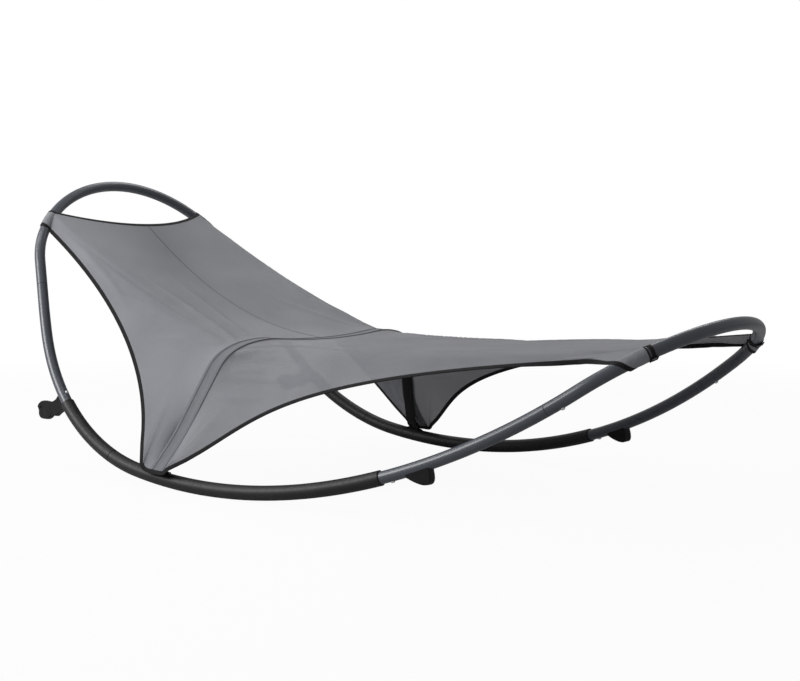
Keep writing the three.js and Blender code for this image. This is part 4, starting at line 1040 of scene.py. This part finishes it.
def make_channel():
    """The strip sewn over the fold, with a stitched hem along each side."""
    centre, _, normal, footward = ridge_frame(np.linspace(0, 1, STRIP_POINTS))
    half = CHANNEL_WIDTH / 2 + CHANNEL_LAP
    top = [(half - inset, height) for inset, height in STRIP_EDGE]
    under = [(half - STRIP_EDGE_INSET, STRIP_UNDERSIDE)]
    section = top + flipped_across(top) + flipped_across(under) + under
    strip = section_loft("fold_strip", centre, footward, normal, section, SHADED_STRIP_CLOTH)
    finish_piece(strip, "lounge", "sling_cloth", "fold_channel")
    tangent = unit(np.gradient(centre, axis=0))
    for name, direction in (("back", -1), ("seat", 1)):
        line = centre + footward * direction * (half - HEM_WIDTH / 2 - HEM_INSET) + normal * HEM_LIFT
        hem = section_loft(f"fold_hem_{name}", line, footward, normal,
                           rounded_section(HEM_WIDTH, HEM_THICK, HEM_CORNER), HEM_TAPE)
        finish_piece(hem, "lounge", "sling_cloth")
        stitches(f"fold_stitches_{name}", line + normal * HEM_STITCH_LIFT, tangent + HEM_STITCH_SLANT * footward,
                 normal, HEM_STITCH, PALE_THREAD, "sling_cloth")


def binding_on(name, points, normals, outward_of, width=BINDING_WIDTH):
    """Black tape folded over an edge of the cloth. outward_of gives the side away from the cloth."""
    tangent = unit(np.gradient(points, axis=0))
    normal = unit(normals - (normals * tangent).sum(1, keepdims=True) * tangent)
    out = np.cross(tangent, normal)
    out *= np.sign((out * outward_of).sum(1, keepdims=True))
    for face, direction in (("upper", 1), ("under", -1)):
        line = points + out * TAPE_STITCH_OUT + normal * direction * BINDING_THICK / 2
        stitches(f"{name}_{face}_stitches", line, tangent, normal * direction, TAPE_STITCH, BLACK_THREAD_AND_SEAM_SHADE,
                 "black_webbing")
    return section_loft(name, points + out * (width / 2 - TAPE_LAP), out, normal,
                        rounded_section(width, BINDING_THICK, TAPE_CORNER), BLACK_TAPE)


def wrap_edge(wrap):
    """The low edge of the right wrap: points, directions out from the tube, and directions away from the cloth."""
    places, angles = np.array(wrap["edge"], float).T
    steps = np.concatenate([[0], np.cumsum(np.hypot(np.diff(places), np.diff(np.radians(angles)) * WRAP_GIRTH))])
    wanted = np.linspace(0, 1, WRAP_POINTS) * steps[-1]
    places, angles = (np.interp(wanted, steps, values) for values in (places, angles))
    points, out = on_tube(places * MM, angles)
    inner, _ = on_tube((places + WRAP_INSIDE * np.sign(places)) * MM, angles)
    return points, out, points - inner


def evened(step, points, *others):
    """The same line and values at even steps, with its corners eased."""
    lengths = lengths_along(points)
    wanted = np.linspace(0, lengths[-1], int(lengths[-1] / step))
    lines = [at_lengths(values, lengths, wanted) for values in (points, *others)]
    for line, rounds in zip(lines, EASE_ROUNDS):
        for _ in range(rounds):
            line[1:-1] += 0.5 * ((line[2:] + line[:-2]) / 2 - line[1:-1])
    return lines


def side_binding_line():
    """The right side's bound edge, from the head wrap down to the tip and up to the foot wrap."""
    turn = TIP_ROWS * FINE
    inside = at_lengths(ridge_points, ridge_lengths, np.array([TIP_INSIDE]))
    parts = []
    for grid, wrap in ((back_grid, HEAD_WRAP), (seat_grid, FOOT_WRAP)):
        inner = grid[:, 0] - grid[:, 2 * FINE]
        normal = unit(np.cross(np.gradient(grid[:, 0], axis=0), inner))
        normal *= np.sign((normal * up_normals(grid)[:, 4 * FINE]).sum(1, keepdims=True))
        normal[:turn] = normal[turn]
        inner[:turn] = grid[:turn, 0] - inside
        edge, out, away = wrap_edge(wrap)
        parts.append((np.vstack([grid[:, 0], edge[1:]]), np.vstack([normal, out[1:]]),
                      np.vstack([unit(inner), unit(away[1:])])))
    middle = unit(parts[0][1][:1] + parts[1][1][:1])
    joined = [np.vstack([back[::-1], between, seat]) for back, between, seat in
              zip(parts[0], (tip[None], middle, unit(tip - inside)), parts[1])]
    return evened(TAPE_STEP, *joined)


def end_binding_line(grid, wrap):
    """A bound edge between the two wraps, with its ends going round the bow."""
    part = slice(FLAP * FINE, grid.shape[1] - FLAP * FINE)
    row = grid[-1, part]
    place, start = wrap["top"]
    angles = np.linspace(WRAP_END, start, WRAP_POINTS)[:-1]
    points, out = on_tube(np.full(len(angles), place) * MM, angles)
    away = on_tube(np.full(len(angles), place + WRAP_INSIDE * np.sign(place)) * MM, angles)[0] - points
    joined = [np.vstack([side, middle, flipped(side[::-1])]) for side, middle in
              ((points, row), (out, up_normals(grid)[-1, part]), (unit(away), unit(row - grid[-4, part])))]
    return evened(TAPE_STEP, *joined)


def make_bindings():
    line = side_binding_line()
    for side, mirror in SIDES.items():
        piece = binding_on(f"side_tape_{side}", *(values * mirror for values in line))
        finish_piece(piece, "lounge", "black_webbing", f"back_binding_{side}", f"seat_binding_{side}")
    for name, grid, wrap, width in (("head", back_grid, HEAD_WRAP, BINDING_WIDTH),
                                    ("foot", seat_grid, FOOT_WRAP, FOOT_BINDING_WIDTH)):
        piece = binding_on(f"{name}_tape", *end_binding_line(grid, wrap), width=width)
        finish_piece(piece, "lounge", "black_webbing", f"{name}_binding")


# Cloth round the bows, and the webbing bands with their slides

PUCKER_HEIGHT = 0.9 * MM
PUCKER_TURNS, PUCKER_FADE_TURNS = 3.1, 1.3
PUCKER_LENGTH, PUCKER_FADE_LENGTH = 4.2, 11
BAND_THICK = 2 * MM
BAND_STEP = 4 * MM
BAND_CHAMFER = 0.6 * MM
SLIDE_RADIUS = 20.2 * MM
SLIDE_ANGLE = 270
SLIDE_OUTLINE = (17 * MM, 22 * MM, 3 * MM)
SLIDE_WIRE = 1.4 * MM
SLIDE_BAR = (3 * MM, 2 * MM, 0.8 * MM)
SLIDE_BAR_HALF = 8 * MM
TAB_RADIUS = 18.9 * MM
TAB_HALF = 6.5 * MM
TAB_TURN = 27
TAB_ROWS, TAB_COLUMNS = 8, 14


def puckers(places, turn):
    """How far the cloth of a wrap stands up in small folds, from 0 to 1."""
    long_wave = np.sin(PUCKER_TURNS * turn + places / PUCKER_LENGTH)
    return 0.5 * (1 + long_wave * np.sin(places / PUCKER_FADE_LENGTH - PUCKER_FADE_TURNS * turn))


def make_wraps():
    for name, wrap in (("head", HEAD_WRAP), ("foot", FOOT_WRAP)):
        edge_places, edge_angles = np.array(wrap["edge"], float).T
        shares = np.linspace(0, 1, WRAP_POINTS) ** WRAP_PACE
        places = wrap["low"][0] + (wrap["top"][0] - wrap["low"][0]) * shares
        start = wrap["low"][1] + (wrap["top"][1] - wrap["low"][1]) * shares
        end = np.interp(np.abs(places), np.abs(edge_places), edge_angles)
        across = np.linspace(0, 1, WRAP_COLUMNS)
        angles = start[:, None] + (end - start)[:, None] * across
        columns = [on_tube(places * MM, column) for column in angles.T]
        grid, normals = (np.stack([column[part] for column in columns], axis=1) for part in (0, 1))
        turn = np.radians(angles)
        fade = np.sin(pi * shares)[:, None] * np.sin(pi * across)
        grid += normals * (PUCKER_HEIGHT * puckers(places[:, None], turn) * fade)[..., None]
        flat = np.stack([np.broadcast_to(places[:, None] * MM, angles.shape), turn * WRAP_RADIUS], -1)
        for side, mirror in SIDES.items():
            piece = sheet_object(f"{name}_wrap_{side}", grid * mirror, normals * mirror, flat, CLOTH, POCKET_CLOTH)
            finish_piece(piece, "lounge", "sling_cloth", f"{name}_pocket_{side}")


def make_bands():
    for side in SIDES:
        places = with_ends(*FOOT_BAND, BAND_STEP, BAND_CHAMFER)
        piece = tube_piece(f"foot_band_web_{side}", side_line(places, side), TUBE_RADIUS + BAND_THICK,
                           TUBE_RADIUS + FIT_GAP, BAND_CHAMFER, STRAP_WEB)
        finish_piece(piece, "lounge", "black_webbing", f"foot_band_{side}")


def wire_loop(name, path, out, radius, sides):
    """A closed loop of round wire on a path. out points away from the loop's flat."""
    out = np.broadcast_to(out, path.shape)[:, None]
    tangent = unit(np.roll(path, -1, axis=0) - np.roll(path, 1, axis=0))
    inward = np.cross(tangent, out[:, 0])[:, None]
    angles = full_turn(sides)[:, None]
    rings = path[:, None] + radius * (np.cos(angles) * inward + np.sin(angles) * out)
    return loft(name, rings, PLASTIC, closed=True)


def make_slides():
    """The buckle that holds each foot band: a bent frame with a bar and the band's grey end in it."""
    outline = rounded_section(*SLIDE_OUTLINE, 5)
    tab_places = np.linspace(-TAB_HALF, TAB_HALF, TAB_ROWS)
    tab_turns = np.linspace(SLIDE_ANGLE - TAB_TURN, SLIDE_ANGLE + TAB_TURN, TAB_COLUMNS)
    for side, mirror in SIDES.items():
        path, out = on_tube(SLIDE_PLACE + outline[:, 0], SLIDE_ANGLE + np.degrees(outline[:, 1] / SLIDE_RADIUS),
                            SLIDE_RADIUS)
        piece = wire_loop(f"slide_frame_{side}", path * mirror, out * mirror, SLIDE_WIRE, 12)
        finish_piece(piece, "lounge", "moulded_plastic", f"foot_slide_{side}")
        bar = side_line(SLIDE_PLACE + np.linspace(-SLIDE_BAR_HALF, SLIDE_BAR_HALF, 6), side)
        piece = section_loft(f"slide_bar_{side}", bar.centre - bar.up * SLIDE_RADIUS, bar.inboard, bar.up,
                             rounded_section(*SLIDE_BAR), PLASTIC)
        finish_piece(piece, "lounge", "moulded_plastic")
        rows = [on_tube(np.full(TAB_COLUMNS, SLIDE_PLACE + place), tab_turns, TAB_RADIUS) for place in tab_places]
        grid, normals = (np.stack([row[part] for row in rows]) * mirror for part in (0, 1))
        flat = np.stack(np.broadcast_arrays(tab_places[:, None], np.radians(tab_turns) * SLIDE_RADIUS), -1)
        piece = sheet_object(f"slide_tab_{side}", grid, normals, flat, CLOTH, POCKET_CLOTH)
        finish_piece(piece, "lounge", "black_webbing")


# Strap, loops and rings

def strap_path():
    """The strap's line from the right loop under the fold to the left one, and its width."""
    shares = np.linspace(column_shares[2], 1 - column_shares[2], STRAP_POINTS)
    centre, _, normal, footward = ridge_frame(shares)
    under = centre - normal * (CLOTH / 2 + STRAP_THICK / 2 + STRAP_GAP)
    along = unit(ring_line.tangent[0] - ring_up * (ring_line.tangent[0] @ ring_up))
    points = np.vstack([loop_end, under, flipped(loop_end)])
    across = np.vstack([along, footward, flipped(along)])
    lengths = lengths_along(points)
    wanted = np.linspace(0, lengths[-1], STRAP_RINGS)
    return at_lengths(points, lengths, wanted), at_lengths(across, lengths, wanted)


def make_strap():
    points, across = strap_path()
    tangent = unit(np.gradient(points, axis=0))
    across = unit(across - (across * tangent).sum(1, keepdims=True) * tangent)
    normal = np.cross(tangent, across)
    section = rounded_section(STRAP_WIDTH, STRAP_THICK, STRAP_CORNER)
    for name, part, body in (("strap_right", slice(0, STRAP_TURNING + 1), "right_ring"),
                             ("strap_middle", slice(STRAP_TURNING, -STRAP_TURNING), None),
                             ("strap_left", slice(-STRAP_TURNING - 1, None), "left_ring")):
        piece = section_loft(name, points[part], across[part], normal[part], section, STRAP_WEB)
        if body is None:
            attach(piece, "lounge")
            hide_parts("cross_strap")
        else:
            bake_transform(piece)


def loop_section_line():
    """The webbing's loop round the ring's upper bar, as (out, up) points of one band folded on itself."""
    inner = WIRE_RADIUS + LOOP_PLAY
    half = STRAP_THICK / 2 + LOOP_FOLD_GAP
    angles = np.linspace(-pi, 0, 13)
    radius = inner + STRAP_THICK / 2
    turn = [(radius * cos(angle), radius * sin(angle)) for angle in angles]
    neck = LOOP_NECK * inner
    return np.array([(-half, LOOP_LENGTH), (-half, neck), *turn, (half, neck), (half, LOOP_LENGTH)])


def make_rings():
    outline = rounded_section(RING_WIDTH - 2 * WIRE_RADIUS, BAR_SPACING, RING_CORNER - WIRE_RADIUS / 2, 6)
    loop = loop_section_line()
    for side, mirror in SIDES.items():
        up, pivot = ring_up * mirror, ring_pivot * mirror
        along = ring_line.tangent[0] * mirror
        along = unit(along - up * (along @ up))
        out = np.cross(along, up)
        path = pivot + outline[:, :1] * along + (outline[:, 1:] + BAR_SPACING / 2) * up
        wire = wire_loop(f"ring_wire_{side}", path, out, WIRE_RADIUS, 16)
        finish_piece(wire, f"{side}_ring", "moulded_plastic", f"ring_{side}")
        centre = pivot + BAR_SPACING * up + loop[:, :1] * out + loop[:, 1:] * up
        normal = np.cross(unit(np.gradient(centre, axis=0)), along)
        section = rounded_section(STRAP_WIDTH, STRAP_THICK * LOOP_SQUEEZE, LOOP_CORNER)
        piece = section_loft(f"loop_web_{side}", centre, np.broadcast_to(along, centre.shape), normal, section,
                             STRAP_WEB)
        finish_piece(piece, f"{side}_ring", "black_webbing", f"strap_loop_{side}")


# Solids that keep their shape

EDGE_BEVEL = 0.5 * MM
EDGE_ANGLE = radians(35)


def dress_solids():
    for name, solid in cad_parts.items():
        if solid.hide_render:
            continue
        solid.data.materials.clear()
        solid.data.materials.append(ZINC if "bolt" in name else STEEL if "spigot" in name else PLASTIC)
        if "spigot" not in name:
            bevel = solid.modifiers.new("Soft edges", "BEVEL")
            bevel.width = EDGE_BEVEL
            bevel.segments = 2
            bevel.limit_method = "ANGLE"
            bevel.angle_limit = EDGE_ANGLE


# Floor, light and camera

FLOOR_SIZE = 30.0
FLOOR_DROP = 0.7 * MM
FLOOR_FADE = (2.2, 4.5)
FLOOR_WHITE = 0.95
WORLD_LIGHT = 0.42

# Each lamp's place, target, size and power
LAMPS = {
    "back_box": ((-1.0, 2.2, 3.0), (0.4, 0, 0.4), (3.0, 0.5), 30),
    "key_box": ((-2.3, -3.4, 2.2), (-0.1, -0.3, 0.3), (2.4, 1.7), 164),
    "streak_box": ((-1.6, -1.0, 2.8), (0.6, -0.4, 0.2), (0.3, 3.0), 22),
}


def seen_directly(tree):
    """1 for what the camera sees itself or through something see-through, and 0 for what only lights the object."""
    path = tree.nodes.new("ShaderNodeLightPath")
    either = node(tree, "ShaderNodeMath", operation="MAXIMUM")
    for socket, ray in zip(either.inputs, ("Is Camera Ray", "Is Transmission Ray")):
        tree.links.new(path.outputs[ray], socket)
    return either.outputs[0]


def make_floor():
    finish = Finish("studio_floor", (0.5, 0.5, 0.5), roughness=0.7, specular_ior_level=0.2)
    tree = finish.tree
    white = node(tree, "ShaderNodeEmission", Color=(1, 1, 1, 1), Strength=1.0)
    distance = node(tree, "ShaderNodeVectorMath", operation="LENGTH")
    finish.link(finish.coordinates.outputs["Object"], distance.inputs[0])
    near, far = FLOOR_FADE
    fade = node(tree, "ShaderNodeMapRange", interpolation_type="SMOOTHSTEP",
                **{"From Min": near, "From Max": far, "To Min": FLOOR_WHITE, "To Max": 1.0})
    finish.link(distance.outputs["Value"], fade.inputs["Value"])
    mix = tree.nodes.new("ShaderNodeMixShader")
    finish.link(finish.math("MULTIPLY", seen_directly(tree), fade.outputs["Result"]), mix.inputs["Fac"])
    finish.link(finish.shader.outputs[0], mix.inputs[1])
    finish.link(white.outputs[0], mix.inputs[2])
    finish.link(mix.outputs[0], finish.output.inputs["Surface"])
    half = FLOOR_SIZE / 2
    corners = [(-half, -half, 0), (half, -half, 0), (half, half, 0), (-half, half, 0)]
    floor = new_object("studio_floor", corners, [(0, 1, 2, 3)], finish.material)
    floor.location.z = -FLOOR_DROP


def make_world():
    world = bpy.data.worlds.new("studio")
    bpy.context.scene.world = world
    world.use_nodes = True
    tree = world.node_tree
    background = tree.nodes["Background"]
    background.inputs["Color"].default_value = (1, 1, 1, 1)
    tree.links.new(in_range(tree, seen_directly(tree), WORLD_LIGHT, 1.0), background.inputs["Strength"])


def make_lights():
    for name, (place, target, size, power) in LAMPS.items():
        light = bpy.data.lights.new(name, "AREA")
        light.shape = "RECTANGLE"
        light.size, light.size_y = size
        light.energy = power
        lamp = bpy.data.objects.new(name, light)
        lamp.location = place
        lamp.rotation_euler = (Vector(target) - Vector(place)).to_track_quat("-Z", "Y").to_euler()
        bpy.context.scene.collection.objects.link(lamp)


def make_camera():
    data = bpy.data.cameras.new("camera")
    data.sensor_fit = "HORIZONTAL"
    data.sensor_width = CAMERA_SENSOR
    data.lens = CAMERA_LENS
    data.shift_x, data.shift_y = CAMERA_SHIFT
    right = np.array([cos(CAMERA_AZIMUTH), sin(CAMERA_AZIMUTH), 0])
    back = np.array([sin(CAMERA_AZIMUTH) * cos(CAMERA_ELEVATION), -cos(CAMERA_AZIMUTH) * cos(CAMERA_ELEVATION),
                     sin(CAMERA_ELEVATION)])
    up = np.cross(back, right)
    eye = ORIGIN + CAMERA_TARGET + back * CAMERA_DISTANCE
    camera = bpy.data.objects.new("camera", data)
    camera.matrix_world = Matrix([[right[i], up[i], back[i], eye[i]] for i in range(3)] + [[0, 0, 0, 1]])
    bpy.context.scene.collection.objects.link(camera)
    bpy.context.scene.camera = camera


make_camera()
make_frame()
make_screws()
make_panels()
make_seam()
make_channel()
make_bindings()
make_wraps()
make_bands()
make_slides()
make_strap()
make_rings()
dress_solids()
make_floor()
make_world()
make_lights()

bpy.context.scene.view_settings.view_transform = "Standard"
